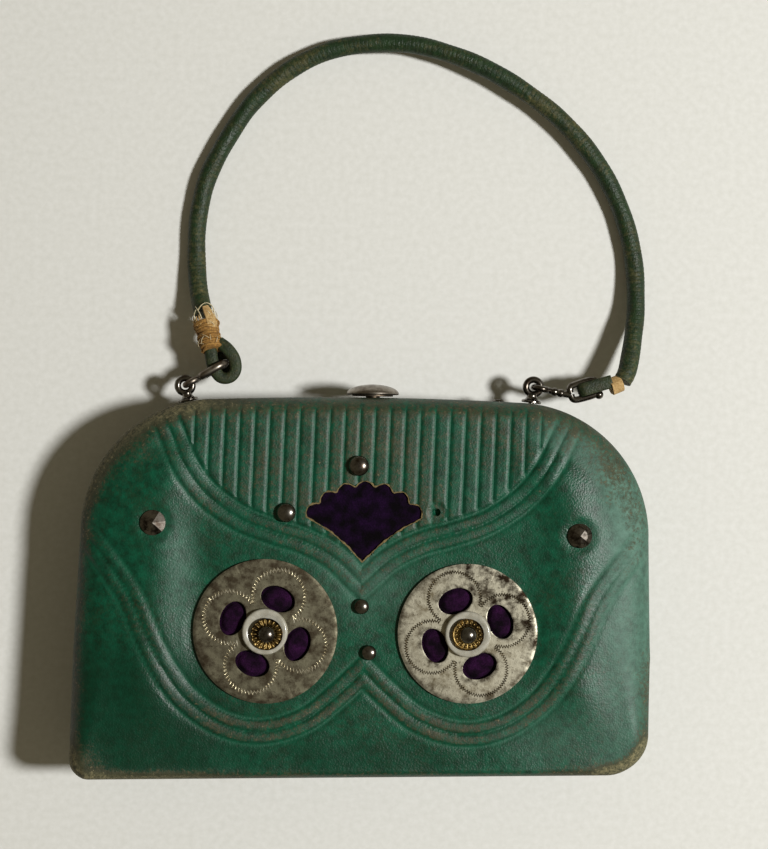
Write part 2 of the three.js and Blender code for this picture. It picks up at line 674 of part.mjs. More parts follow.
// Flat leather loop through the left hook, both ends at the binding.
const loopRoute = [
  [-37.3, 61.4, 11.4],
  [-35.4, 59.2, 11.75],
  [-33.9, 56.6, 11.75],
  [-33.5, 53.8, 11.75],
  [-35.2, 51.7, 11.75],
  [-37.6, 52.4, 11.75],
  [-39.1, 54.6, 11.75],
  [-40.3, 57.4, 11.75],
  [-40.2, 60.2, 11.5],
];
function strip(points, width, thick, steps) {
  const curve = new THREE.CatmullRomCurve3(points.map((p) => new THREE.Vector3(...p)), false, "centripetal");
  const rings = [];
  for (let i = 0; i <= steps; i++) {
    const p = curve.getPoint(i / steps);
    const along = curve.getTangent(i / steps);
    const side = new THREE.Vector3(-along.y, along.x, 0).normalize();
    const corner = (s, z) => p.clone().addScaledVector(side, (s * width) / 2).add(new THREE.Vector3(0, 0, z));
    rings.push([
      corner(-1, -thick * 0.25),
      corner(-0.7, -thick / 2),
      corner(0.7, -thick / 2),
      corner(1, -thick * 0.25),
      corner(1, thick * 0.25),
      corner(0.7, thick / 2),
      corner(-0.7, thick / 2),
      corner(-1, thick * 0.25),
    ]);
  }
  return loft(rings);
}
meshOf("end_loop_left", strip(loopRoute, 2.5, 1.3, 12), leather());

// Raw core at the right end of the handle and the leather tongue folded round the right hook.
const coreTop = new THREE.Vector3(64.5, 51.94, 11.3);
const coreFoot = new THREE.Vector3(63.7, 50.55, 11.5);
meshOf("core_end_right", cylinder(1.8, coreTop, coreFoot, 12), core());

const tongue = new THREE.Shape();
const fold = { length: 6.6, high: 1.9, thick: 0.8 };
tongue.moveTo(0, fold.high);
tongue.lineTo(-fold.length + fold.high, fold.high);
tongue.absarc(-fold.length + fold.high, 0, fold.high, Math.PI / 2, (3 * Math.PI) / 2);
tongue.lineTo(0, -fold.high);
tongue.lineTo(0, -fold.high + fold.thick);
tongue.lineTo(-fold.length + fold.high, -fold.high + fold.thick);
tongue.absarc(-fold.length + fold.high, 0, fold.high - fold.thick, (3 * Math.PI) / 2, Math.PI / 2, true);
tongue.lineTo(0, fold.high - fold.thick);
const tongueSolid = plate(tongue, -1.2, 1.2, 5).rotate([90, 0, 0]).rotate([0, 0, 17]);
meshOf("end_tongue_right", tongueSolid.translate([61.7, 52, FITTING_Z]), leather());

export default parts;
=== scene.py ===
import bmesh
import bpy
import math
import numpy as np
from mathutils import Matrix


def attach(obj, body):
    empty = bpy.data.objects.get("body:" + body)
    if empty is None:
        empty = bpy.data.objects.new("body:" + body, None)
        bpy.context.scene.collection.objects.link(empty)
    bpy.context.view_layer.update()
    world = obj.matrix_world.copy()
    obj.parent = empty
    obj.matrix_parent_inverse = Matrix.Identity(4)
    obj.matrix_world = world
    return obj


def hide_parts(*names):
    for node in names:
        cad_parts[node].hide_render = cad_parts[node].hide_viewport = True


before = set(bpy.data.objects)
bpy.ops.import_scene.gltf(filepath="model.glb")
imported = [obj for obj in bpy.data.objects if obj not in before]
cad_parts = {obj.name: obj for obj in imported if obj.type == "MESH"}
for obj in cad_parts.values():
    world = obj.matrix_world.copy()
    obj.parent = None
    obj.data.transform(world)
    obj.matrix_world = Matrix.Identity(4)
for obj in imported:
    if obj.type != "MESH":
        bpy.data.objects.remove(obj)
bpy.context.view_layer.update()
print("frame loaded,", len(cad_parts), "solids")

mm = 0.001
scene = bpy.context.scene
dice = np.random.default_rng(18)

# Camera straight over the purse, as it was photographed.
view = dict(x=4.5, y=40.6, height=560, lens=91.93, sensor=36, near=10, turn=0.7)
eye = bpy.data.cameras.new("camera")
eye.lens = view["lens"]
eye.sensor_width = view["sensor"]
eye.clip_start = view["near"] * mm
camera = bpy.data.objects.new("camera", eye)
camera.location = (view["x"] * mm, view["y"] * mm, view["height"] * mm)
camera.rotation_euler = (0, 0, math.radians(view["turn"]))
scene.collection.objects.link(camera)
scene.camera = camera
scene.view_settings.view_transform = "Standard"
print("camera set")


# Meshes. All shapes are worked out in millimetres and put down in metres.
def smoothStep(low, high, value):  # 0 below low, 1 above high, an even ease between
    t = np.clip((value - low) / (high - low), 0, 1)
    return t * t * (3 - 2 * t)


def fullTurn(count):  # angles of evenly spaced points on a circle
    return np.linspace(0, 2 * np.pi, count, endpoint=False)


def ripples(at, rows):  # a sum of sine waves, each with its size, rate and start
    return sum(size * np.sin(rate * at + start) for size, rate, start in rows)


def unit(rows):
    return rows / np.maximum(np.linalg.norm(rows, axis=-1, keepdims=True), 1e-12)


def shellOf(grid, wrapRows=False):  # quads between the rows of a grid whose columns close on themselves
    rows, cols = grid.shape[:2]
    i = np.arange(rows if wrapRows else rows - 1)[:, None]
    j = np.arange(cols)[None, :]
    below = ((i + 1) % rows) * cols
    quads = np.stack([i * cols + j, i * cols + (j + 1) % cols, below + (j + 1) % cols, below + j], -1)
    return grid.reshape(-1, 3), quads.reshape(-1, 4)


def insideOut(points, quads):  # a closed shell whose faces look inwards has a negative signed volume
    a, b, c, d = (points[quads[:, k]] for k in range(4))
    turn = np.einsum("ij,ij->i", a, np.cross(b, c)) + np.einsum("ij,ij->i", a, np.cross(c, d))
    return turn.sum() < 0


def putPiece(name, shells, finish, body, sharp, stands=(), marks=None, faceFinish=None):
    # one mesh from closed shells: faces turned outwards, marks stored on the points, doubled points welded
    points = np.concatenate([shell[0] for shell in shells])
    faces, start = [], 0
    for shellPoints, quads in shells:
        faces.append((quads[:, ::-1] if insideOut(shellPoints, quads) else quads) + start)
        start += len(shellPoints)
    mesh = bpy.data.meshes.new(name)
    mesh.from_pydata((points * mm).tolist(), [], np.concatenate(faces).tolist())
    for key, values in (marks or {}).items():
        mesh.attributes.new(key, "FLOAT", "POINT").data.foreach_set("value", np.asarray(values, np.float32))
    for each in finish if isinstance(finish, list) else [finish]:
        mesh.materials.append(each)
    if faceFinish is not None:
        mesh.polygons.foreach_set("material_index", np.asarray(faceFinish, np.int32))
    edit = bmesh.new()
    edit.from_mesh(mesh)
    bmesh.ops.remove_doubles(edit, verts=edit.verts, dist=1e-7)
    bmesh.ops.dissolve_degenerate(edit, edges=edit.edges, dist=1e-9)
    edit.to_mesh(mesh)
    edit.free()
    mesh.validate()
    mesh.set_sharp_from_angle(angle=math.radians(sharp))
    piece = bpy.data.objects.new(name, mesh)
    scene.collection.objects.link(piece)
    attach(piece, body)
    if stands:
        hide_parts(*stands)
    return piece


def spline(rows, perSpan):  # Catmull-Rom: each span is a cubic from its two points and their neighbours
    p = np.asarray(rows, float)
    p = np.vstack([2 * p[0] - p[1], p, 2 * p[-1] - p[-2]])
    t = np.linspace(0, 1, perSpan, endpoint=False)[None, :, None]
    a, b, c, d = (p[k:len(p) - 3 + k][:, None, :] for k in range(4))
    curve = 2 * b + (c - a) * t + (2 * a - 5 * b + 4 * c - d) * t**2 + (3 * b - a - 3 * c + d) * t**3
    return np.vstack([0.5 * curve.reshape(-1, p.shape[1]), p[-2]])


def evenly(path, count):  # the same line with points at equal steps of its length, and the length
    step = np.r_[0, np.cumsum(np.linalg.norm(np.diff(path, axis=0), axis=1))]
    at = np.linspace(0, step[-1], count)
    return np.stack([np.interp(at, step, path[:, k]) for k in range(path.shape[1])], 1), step[-1]


def sweep(path, across, up, lift=(0, 0, 1), closed=False):
    # a section carried along a path: path + across * side + up * top, side square to the path and to lift
    path = np.asarray(path, float)
    ahead = np.roll(path, -1, 0) - np.roll(path, 1, 0)
    if not closed:
        ahead[0], ahead[-1] = path[1] - path[0], path[-1] - path[-2]
    ahead = unit(ahead)
    side = unit(np.cross(np.asarray(lift, float)[None], ahead))
    top = np.cross(ahead, side)
    across, up = np.asarray(across)[..., None], np.asarray(up)[..., None]
    grid = path[:, None] + across * side[:, None] + up * top[:, None]
    if not closed:  # each end closes on its middle
        first, last = (np.repeat(path[k][None, None], grid.shape[1], 1) for k in (0, -1))
        grid = np.concatenate([first, grid, last])
    return grid


def roundSweep(path, radius, turn):  # a closed section given by its radius at each angle
    return sweep(path, radius * np.cos(turn), radius * np.sin(turn))


def wire(path, radius, sides=12, lift=(0, 0, 1), closed=False):  # a round section; radius may change along
    turn = fullTurn(sides)
    r = np.broadcast_to(np.asarray(radius, float), (len(path),))[:, None]
    return shellOf(sweep(path, r * np.cos(turn), r * np.sin(turn), lift, closed), closed)


def arcRows(radius, rise, base, count, low=0, middle=0):  # part of an ellipse up to its top, as a profile
    a = np.radians(np.linspace(low, 90, count))
    return np.stack([middle + radius * np.cos(a), base + rise * np.sin(a)], 1)


def turned(profile, sides):  # radius and height rows spun round Z; a row of radius 0 is a pole
    profile = np.asarray(profile, float)
    turn = fullTurn(sides)
    r, z = profile[:, :1], profile[:, 1:2]
    return np.stack([r * np.cos(turn), r * np.sin(turn), z + 0 * turn], -1)


def spin(points, degrees, axis):  # points turned about the X, Y or Z axis
    a = math.radians(degrees)
    c, s = math.cos(a), math.sin(a)
    turn = dict(
        x=[[1, 0, 0], [0, c, -s], [0, s, c]],
        y=[[c, 0, s], [0, 1, 0], [-s, 0, c]],
        z=[[c, -s, 0], [s, c, 0], [0, 0, 1]],
    )[axis]
    return points @ np.array(turn).T


def standingTurned(rows, sides):  # a profile spun round Y, its heights along +Y
    return shellOf(spin(turned(rows, sides), -90, "x"))


def moved(shell, x=0, y=0, z=0):
    return shell[0] + np.array([x, y, z]), shell[1]


def ballShell(radius, sides):
    return shellOf(turned(arcRows(radius, radius, 0, 13, -90), sides))


def nearest(x, y, line):
    # of a line's segments the nearest one: its distance, the side it is on, its number and the share along it
    gap = np.full(x.shape, 1e9)
    side, number, share = np.zeros(x.shape), np.zeros(x.shape, int), np.zeros(x.shape)
    for k, ((ax, ay), (bx, by)) in enumerate(zip(line[:-1], line[1:])):
        dx, dy = bx - ax, by - ay
        t = np.clip(((x - ax) * dx + (y - ay) * dy) / max(dx * dx + dy * dy, 1e-12), 0, 1)
        far = np.hypot(x - ax - t * dx, y - ay - t * dy)
        near = far < gap
        gap[near], number[near], share[near] = far[near], k, t[near]
        side[near] = np.sign(dx * (y - ay) - dy * (x - ax))[near]
    return gap, side, number, share


def carried(values, number, share):  # a value given at a line's points, taken at a place along it
    return values[number] + share * (values[number + 1] - values[number])


def snapTo(x, y, line, reach):  # points close to a closed line move onto it
    loop = np.vstack([line, line[:1]])
    gap, _, *spot = nearest(x, y, loop)
    close = gap < reach
    onX, onY = carried(loop[:, 0], *spot), carried(loop[:, 1], *spot)
    return np.where(close, onX, x), np.where(close, onY, y), close


def within(x, y, line):  # odd number of crossings of a closed line to the right of the point
    inside = np.zeros(x.shape, bool)
    for (ax, ay), (bx, by) in zip(line, np.roll(line, -1, 0)):
        crosses = (ay > y) != (by > y)
        inside ^= crosses & (x < (bx - ax) * (y - ay) / (by - ay if by != ay else 1e-12) + ax)
    return inside


# Materials. Colours are sRGB hex, sizes are millimetres.
def linear(hexText):  # sRGB hex to linear light
    part = np.array([int(hexText[k:k + 2], 16) for k in (1, 3, 5)]) / 255
    return (*np.where(part <= 0.04045, part / 12.92, ((part + 0.055) / 1.055) ** 2.4).tolist(), 1.0)


def feed(tree, node, inputs):  # a node's inputs: sockets are linked, hex colours and numbers are set
    for key, value in inputs.items():
        if isinstance(value, bpy.types.NodeSocket):
            tree.links.new(value, node.inputs[key])
        else:
            node.inputs[key].default_value = linear(value) if isinstance(value, str) else value


def addNode(tree, kind, inputs=None, **settings):  # a node with its settings and inputs
    made = tree.nodes.new("ShaderNode" + kind)
    for key, value in settings.items():
        setattr(made, key, value)
    feed(tree, made, inputs or {})
    return made


def startMaterial(name):
    material = bpy.data.materials.new(name)
    material.use_nodes = True
    tree = material.node_tree
    return material, tree, tree.nodes["Principled BSDF"], addNode(tree, "TexCoord").outputs["Object"]


def noiseOf(tree, place, size, detail, **more):  # cloudy noise with features of that size
    inputs = {"Vector": place, "Scale": 1 / (size * mm), "Detail": detail, **more}
    return addNode(tree, "TexNoise", inputs).outputs["Fac"]


def cellsOf(tree, place, size, **more):  # distance from scattered points, the pebbles of a grain
    inputs = {"Vector": place, "Scale": 1 / (size * mm), **more}
    return addNode(tree, "TexVoronoi", inputs).outputs["Distance"]


def markOf(tree, name):  # a mark stored on the mesh
    return addNode(tree, "Attribute", attribute_name=name).outputs["Fac"]


def rampOf(tree, value, *stops):  # a value through stops, each a place with a hex colour or a grey
    made = addNode(tree, "ValToRGB", {"Fac": value})
    elements = made.color_ramp.elements
    for k, (at, tone) in enumerate(stops):
        stop = elements[k] if k < 2 else elements.new(at)
        stop.position = at
        stop.color = linear(tone) if isinstance(tone, str) else (tone, tone, tone, 1)
    return made.outputs["Color"]


def rangeOf(tree, value, ends, low=0.0, high=1.0):  # low to high spread over the two ends
    inputs = {"Value": value, "From Min": low, "From Max": high, "To Min": ends[0], "To Max": ends[1]}
    return addNode(tree, "MapRange", inputs).outputs["Result"]


def blendOf(tree, share, first, second, mode="MIX"):  # colour mixed by a share
    made = addNode(tree, "Mix", {0: share, 6: first, 7: second}, data_type="RGBA", blend_type=mode)
    return made.outputs[2]


def mathOf(tree, kind, first, second, limit=False):
    return addNode(tree, "Math", {0: first, 1: second}, operation=kind, use_clamp=limit).outputs[0]


def times(tree, first, second, limit=False):
    return mathOf(tree, "MULTIPLY", first, second, limit)


def plus(tree, first, second, limit=False):
    return mathOf(tree, "ADD", first, second, limit)


def bumpOf(tree, height, strength, depth):
    inputs = {"Height": height, "Strength": strength, "Distance": depth * mm}
    return addNode(tree, "Bump", inputs).outputs["Normal"]


hide = dict(grain=0.5, finer=0.4, mottle=2.4, grime=1.5, patch=16, speck=0.9)
stripLook = dict(rough=(0.32, 0.5), bump=0.8, bumpDepth=0.1, gloss=0.36)


def goatskin(name, look):
    # goatskin, drum dyed green, waxed and pressed with hot dies: a fine pebble grain that glints under
    # the wax, mottled dye, scuffed grey-brown on crests and edges, unworn green left in the pressed lines;
    # on the wound handle the line tone is near black instead: painted shade in its grooves
    material, tree, shader, place = startMaterial(name)
    pebble = cellsOf(tree, place, hide["grain"], Randomness=0.9)
    finer = noiseOf(tree, place, hide["finer"], 3.0)
    mottle = noiseOf(tree, place, hide["mottle"], 6.0, Roughness=0.7)
    grime = noiseOf(tree, place, hide["grime"], 5.0, Roughness=0.75, Distortion=0.6)
    patch = noiseOf(tree, place, hide["patch"], 4.0, Roughness=0.6)
    speck = noiseOf(tree, place, hide["speck"], 4.0, Roughness=0.75)
    wear, lines, fadedAndHighlight, darkerLow = (markOf(tree, mark) for mark in ("wear", "deep", "fadedAndHighlight", "darkerLow"))

    # dye: mottled, dull in patches, darker where marked low down, unworn green in the pressed lines
    # (painted shade in the handle's grooves), paler where marked pale: partly paled dye, partly painted
    # highlight
    colour = rampOf(tree, mottle, (0.36, look["dark"]), (0.66, look["mid"]))
    dull = rampOf(tree, patch, (0.38, 0.1), (0.66, look["patchy"]))
    dull = times(tree, dull, rampOf(tree, grime, (0.44, 0.0), (0.6, 1.0)))
    bleachAndHighlight = times(tree, fadedAndHighlight, mottle)
    for share, tone in ((dull, "dull"), (darkerLow, "darkerLow"), (lines, "freshDyeAndGrooveShade"), (bleachAndHighlight, "paleAndHighlight")):
        colour = blendOf(tree, share, colour, look[tone])

    # wear: broken by specks and patches, then bare hide where it is worn through
    loose = times(tree, plus(tree, speck, -0.5), 2.4)
    broad = times(tree, plus(tree, patch, -0.5), 1.2)
    rub = plus(tree, plus(tree, wear, loose), broad)
    rub = rampOf(tree, rub, (0.42, 0.0), (0.95, look["rubbed"]))
    colour = blendOf(tree, rub, colour, blendOf(tree, mottle, look["wornDark"], look["wornPale"]))
    bare = times(tree, wear, rampOf(tree, speck, (0.58, 0.0), (0.68, 1.0)))
    bare = rampOf(tree, bare, (0.35, 0.0), (0.8, 0.7))
    through = times(tree, plus(tree, wear, -1.1), 2.0, True)
    through = times(tree, through, rampOf(tree, speck, (0.42, 0.05), (0.6, 0.75)))
    colour = blendOf(tree, mathOf(tree, "MAXIMUM", bare, through), colour, look["bare"])

    # worn places, pale places (paled dye and painted highlight) and pressed places lose their gloss
    matt = plus(tree, times(tree, wear, 0.32), times(tree, fadedAndHighlight, 0.2))
    matt = plus(tree, matt, times(tree, lines, 0.3))
    rough = plus(tree, rangeOf(tree, finer, look["rough"]), matt, True)
    bumps = plus(tree, pebble, plus(tree, finer, speck))
    normal = bumpOf(tree, bumps, look["bump"], look["bumpDepth"])
    feed(tree, shader, {"Base Color": colour, "Roughness": rough, "Normal": normal,
                        "Specular IOR Level": look["gloss"]})
    return material


greenLeather = goatskin("goatskin_dyed_green_pressed", dict(
    dark="#01301E", mid="#045239", dull="#1E3420", patchy=0.8, darkerLow="#002A19", freshDyeAndGrooveShade="#0A5A40",
    paleAndHighlight="#66887A", rubbed=0.9, wornDark="#161D0F", wornPale="#57523A", bare="#8E8562",
    rough=(0.26, 0.4), bump=0.55, bumpDepth=0.08, gloss=0.38))
# on the handle the pressed-line tone is near black: painted shade in the grooves between the wound turns
handleLeather = goatskin("goatskin_strip_wound_green", dict(
    stripLook, dark="#10240F", mid="#20391C", dull="#2C2F12", patchy=0.9, darkerLow="#0B140A", freshDyeAndGrooveShade="#0B140A",
    paleAndHighlight="#5A6B4A", rubbed=0.85, wornDark="#282A10", wornPale="#625E38", bare="#8F7C50"))
endLeather = goatskin("goatskin_strip_dark_green", dict(
    stripLook, dark="#182311", mid="#2D3B20", dull="#353216", patchy=0.8, darkerLow="#0A0F08", freshDyeAndGrooveShade="#0A0F08",
    paleAndHighlight="#45553C", rubbed=0.7, wornDark="#2B2A14", wornPale="#5C5632", bare="#86703E"))


def liningPaper():
    # calf skiver lining pasted on board: thin, matt, brown, with a soft mottle
    material, tree, shader, place = startMaterial("calf_skiver_lining_brown")
    tone = rampOf(tree, noiseOf(tree, place, 5, 5.0), (0.3, "#3E2B1E"), (0.7, "#5C4331"))
    normal = bumpOf(tree, cellsOf(tree, place, 0.8), 0.4, 0.1)
    feed(tree, shader, {"Base Color": tone, "Normal": normal, "Roughness": 0.7})
    return material


def silkVelvet(name, dark, pale):
    # silk velvet with a short cut pile: nearly black from above, purple where the pile leans to the light
    material, tree, shader, place = startMaterial(name)
    pile = noiseOf(tree, place, 0.35, 4.0)
    tone = rampOf(tree, noiseOf(tree, place, 3, 3.0), (0.36, dark), (0.72, pale))
    tone = blendOf(tree, 1.0, tone, rampOf(tree, pile, (0.35, 0.45), (0.75, 1.0)), "MULTIPLY")
    feed(tree, shader, {
        "Base Color": tone, "Normal": bumpOf(tree, pile, 0.8, 0.25), "Roughness": 0.95,
        "Specular IOR Level": 0.1, "Sheen Weight": 0.05, "Sheen Roughness": 0.35, "Sheen Tint": "#7A3AA0"})
    return material


# dark tone: the colour of stains, and of the painted shade on cut-steel facets
metalLook = dict(speck=0.5, stainTone="#1B1511", bump=0.2, shift=(0, 0, 0))


def wornMetal(name, **own):
    # metal with a thin tarnish: clean where it is rubbed, brown or black film in blotches, fine rub marks
    look = dict(metalLook, **own)
    material, tree, shader, place = startMaterial(name)
    place = addNode(tree, "Mapping", {"Vector": place, "Location": look["shift"]}).outputs["Vector"]
    cloud = noiseOf(tree, place, look["cloud"], 6.0, Roughness=0.68)
    speck = noiseOf(tree, place, look["speck"], 3.0, Roughness=0.7)
    film = rampOf(tree, cloud, (look["film"][0], 0.0), (look["film"][1], 1.0))
    spots = rampOf(tree, speck, (look["spots"], 0.0), (look["spots"] + 0.14, 0.8))
    # the darkening mark holds real stains on the discs and cups, and painted shade on chosen facets of the
    # cut studs
    darkened = times(tree, markOf(tree, "stain"), rampOf(tree, cloud, (0.40, 0.0), (0.60, 1.0)))
    tone = blendOf(tree, film, look["clean"], look["tarnish"])
    tone = blendOf(tree, spots, tone, look["spot"])
    tone = blendOf(tree, darkened, tone, look["stainTone"])
    feed(tree, shader, {
        "Base Color": tone, "Roughness": rangeOf(tree, cloud, look["rough"], 0.3, 0.7),
        "Normal": bumpOf(tree, speck, look["bump"], 0.06), "Metallic": 1.0})
    return material


darkSteel = wornMetal(
    "steel_polished_browned", cloud=2.2, film=(0.42, 0.62), clean="#827E77", tarnish="#443A31", spots=0.62,
    spot="#241C15", rough=(0.14, 0.32))
frameSteel = wornMetal(
    "steel_strip_browned", cloud=5, speck=0.7, film=(0.4, 0.62), clean="#5E584E", tarnish="#37291C",
    spots=0.6, spot="#20160E", rough=(0.34, 0.55), bump=0.35)
dulledSteel = wornMetal(
    "steel_spun_dulled", cloud=3, film=(0.4, 0.64), clean="#9C958A", tarnish="#62554A", spots=0.64,
    spot="#2C2118", rough=(0.3, 0.46), bump=0.25)
cutSteel = wornMetal(
    "steel_cut_facets_browned", cloud=2.4, film=(0.4, 0.62), clean="#8A847C", tarnish="#4A4038", spots=0.62,
    spot="#241C15", rough=(0.22, 0.36))
tarnishedSilver = wornMetal(
    "white_metal_rolled_tarnished", cloud=3.2, speck=0.7, film=(0.38, 0.62), clean="#8A8570",
    tarnish="#50483A", spots=0.58, spot="#33291C", stainTone="#352B1F", rough=(0.4, 0.58), bump=0.35)
brightSilver = wornMetal(
    "white_metal_rolled_rubbed", cloud=2.8, speck=0.6, film=(0.42, 0.66), clean="#C6C0AC", tarnish="#756C58",
    spots=0.57, spot="#463B2C", stainTone="#241B13", rough=(0.36, 0.52), bump=0.35, shift=(0.013, 0.007, 0))
cutSilver = wornMetal(
    "white_metal_bright_cut", cloud=2, speck=0.4, film=(0.42, 0.66), clean="#D8D2BF", tarnish="#8A806A",
    spots=0.7, spot="#5A4E3C", stainTone="#2C2219", rough=(0.3, 0.46), bump=0.3)
filledCut = wornMetal(
    "white_metal_cut_tarnished", cloud=2, speck=0.4, film=(0.4, 0.6), clean="#857B66", tarnish="#574C3B",
    spots=0.6, spot="#2A2118", stainTone="#1E1711", rough=(0.36, 0.5), bump=0.3)
giltBrass = wornMetal(
    "brass_stamped_gilt", cloud=5, speck=0.8, film=(0.46, 0.7), clean="#9C8452", tarnish="#6C5630",
    spots=0.76, spot="#3A2A16", stainTone="#20160C", rough=(0.34, 0.48))


def motherOfPearl():
    # shell turned on a lathe and polished: milky white, faint bands, a soft glaze
    material, tree, shader, place = startMaterial("mother_of_pearl_turned")
    bands = noiseOf(tree, place, 2.5, 3.0, Distortion=1.2)
    tone = rampOf(tree, bands, (0.3, "#9A9586"), (0.6, "#B0AC9F"), (0.8, "#BEBAAE"))
    feed(tree, shader, {"Base Color": tone, "Roughness": 0.24, "Coat Weight": 0.4, "Subsurface Weight": 0.15,
                        "Subsurface Radius": (0.0012, 0.001, 0.0008)})
    return material


def fibrous(name, dark, pale, size):
    # twisted linen or raw hide: matt, streaked along the fibres
    material, tree, shader, place = startMaterial(name)
    streak = noiseOf(tree, place, size, 5.0, Roughness=0.7)
    dirt = rampOf(tree, noiseOf(tree, place, 2.4, 3.0), (0.5, 0.0), (0.75, 0.7))
    tone = blendOf(tree, dirt, rampOf(tree, streak, (0.32, dark), (0.68, pale)), dark)
    feed(tree, shader, {"Base Color": tone, "Normal": bumpOf(tree, streak, 0.7, 0.15), "Roughness": 0.85})
    return material


def paperBoard():
    # smooth pale paper: hardly any texture
    material, tree, shader, place = startMaterial("paper_board_pale")
    tone = rampOf(tree, noiseOf(tree, place, 1.6, 4.0), (0.3, "#DCDBD6"), (0.7, "#E4E3DF"))
    feed(tree, shader, {"Base Color": tone, "Roughness": 0.75, "Specular IOR Level": 0.2})
    return material


liningSkin = liningPaper()
fanVelvet = silkVelvet("silk_velvet_cut_pile_purple", "#080308", "#240A30")
discVelvet = silkVelvet("silk_velvet_cut_pile_rubbed", "#120612", "#3A143E")
pearlShell = motherOfPearl()
tanThread = fibrous("linen_thread_waxed_tan", "#5C3E18", "#B98A44", 0.5)
paleThread = fibrous("linen_thread_frayed_pale", "#A8966E", "#E2D8B8", 0.4)
rawHide = fibrous("hide_core_raw_tan", "#94713F", "#D2B27C", 0.45)
rawEdge = fibrous("leather_cut_edge_raw", "#4E4024", "#8F7C50", 0.5)
print("materials made")

# The handle: a leather strip wound round a core, laid on the table over the purse.
handle = dict(radius=2.37, pitch=1.15, groove=0.05, stepsPerTurn=8, sides=26, tones=600,
              uneven=((0.5, 0.13, 0), (0.25, 0.47, 1), (0.1, 1.1, 0)))
handleRoute = [
    (-41.9, 68.3, 7.4), (-43.3, 74, 4.6), (-44.1, 81, 2.8), (-44.2, 89, 2.5), (-43.4, 96.4, 2.5),
    (-41.2, 104.6, 2.5), (-36.3, 114.1, 2.6), (-30, 123.2, 2.8), (-21.3, 131, 3.2), (-11.5, 136, 3.8),
    (-1.6, 138, 4.4), (9.5, 138.1, 5), (19.9, 135.7, 5.4), (30, 131.7, 5.4), (39.7, 126.1, 5),
    (48.5, 119.5, 4.4), (56.4, 111, 3.7), (62.4, 101.6, 3.1), (66.5, 91, 2.7), (68.4, 81, 3), (68.6, 71, 4.8),
    (67.7, 63.5, 7.4), (66.6, 57.4, 9.6), (65.8, 54.4, 10.7), (64.7, 52.3, 11.2),
]


def withEnds(rows):  # marks of a swept grid: its two closing rows repeat their neighbours
    return np.concatenate([rows[:1], rows, rows[-1:]]).ravel()


def woundHandle():
    # radius = plain radius less a groove at each edge of the strip; the strip's edge climbs one pitch a turn
    line, length = evenly(spline(handleRoute, 30), 400)
    rings = int(length / handle["pitch"] * handle["stepsPerTurn"])
    path, length = evenly(line, rings)
    along = np.linspace(0, length, rings)[:, None]
    turn = fullTurn(handle["sides"])[None, :]
    climb = along / handle["pitch"] - turn / (2 * np.pi) + ripples(along, handle["uneven"])
    count = handle["tones"]
    tones = dice.random(count)[np.floor(climb).astype(int) % count]  # each turn of the strip has its own tone
    crest = 1 - np.abs(2 * (climb % 1) - 1) ** 3
    swell = ripples(along, ((0.05, 0.21, 0), (0.04, 0.53, 2 * turn)))
    r = handle["radius"] - handle["groove"] * (1 - crest) * (0.4 + 1.6 * tones) + swell - 0.02
    rubbed = 0.16 + 0.12 * crest + 0.3 * tones + ripples(along, ((0.14, 0.09, 1), (0.1, 0.37, 3 * turn)))
    # deep is highest in the grooves between turns, where the handle's near-black line tone paints shade
    marks = dict(wear=withEnds(np.clip(rubbed, 0, 1)), deep=withEnds(0.5 * (1 - crest) ** 1.5 * tones))
    piece = putPiece("handle_cord", [shellOf(roundSweep(path, r, turn))], handleLeather, "back_half",
                     60, ["handle"], marks)
    return piece, path, length


handleCord, handlePath, handleLength = woundHandle()
print("handle wound, mm long:", round(handleLength, 1))

# The two stiff covers: pressed goatskin on board.
case = dict(width=144, shoulderWidth=141.2, height=94.5, crown=0.8, shoulderRadius=33.3, depth=28,
            coverDepth=9.5, wall=2.4, turnIn=0.4, rollHeight=7, rollSide=10, rollTop=4.5, rollFoot=2.2,
            rollCorner=4.4, closeTop=7)
design = dict(flutePitch=3.7, flutes=13, lean=math.tan(math.radians(1.8)), shift=0.8, spacing=3, crest=0.23,
              groove=-0.24, sharp=6.0, swagSharp=3.7, swell=1.5, swellIn=18.5, swellWide=8)
foot = dict(tilt=1.16, lift=0.32, fade=37)
lowCorner = dict(left=dict(radius=5, x=67.7, bulge=0.8), right=dict(radius=10.5, x=60.6, bulge=0))
half = case["height"] / 2
arm = case["shoulderRadius"]
shoulderX = case["shoulderWidth"] / 2 - arm
shoulderY = half - case["crown"] - arm
middleSide = ((case["width"] + case["shoulderWidth"]) / 4, (shoulderY - half) / 2)
footSlope = math.tan(math.radians(foot["tilt"]))


def footRise(x, y):  # the foot slopes up to the right; the slope fades out up the sides
    return (foot["lift"] + footSlope * x) * np.clip((foot["fade"] - half - y) / foot["fade"], 0, 1)


def sideBend(low):  # heights and half widths where a side starts, bends and meets the shoulder
    widths = [low["x"] + low["radius"], middleSide[0] + low["bulge"], shoulderX + arm]
    return [low["radius"] - half, middleSide[1], shoulderY], widths


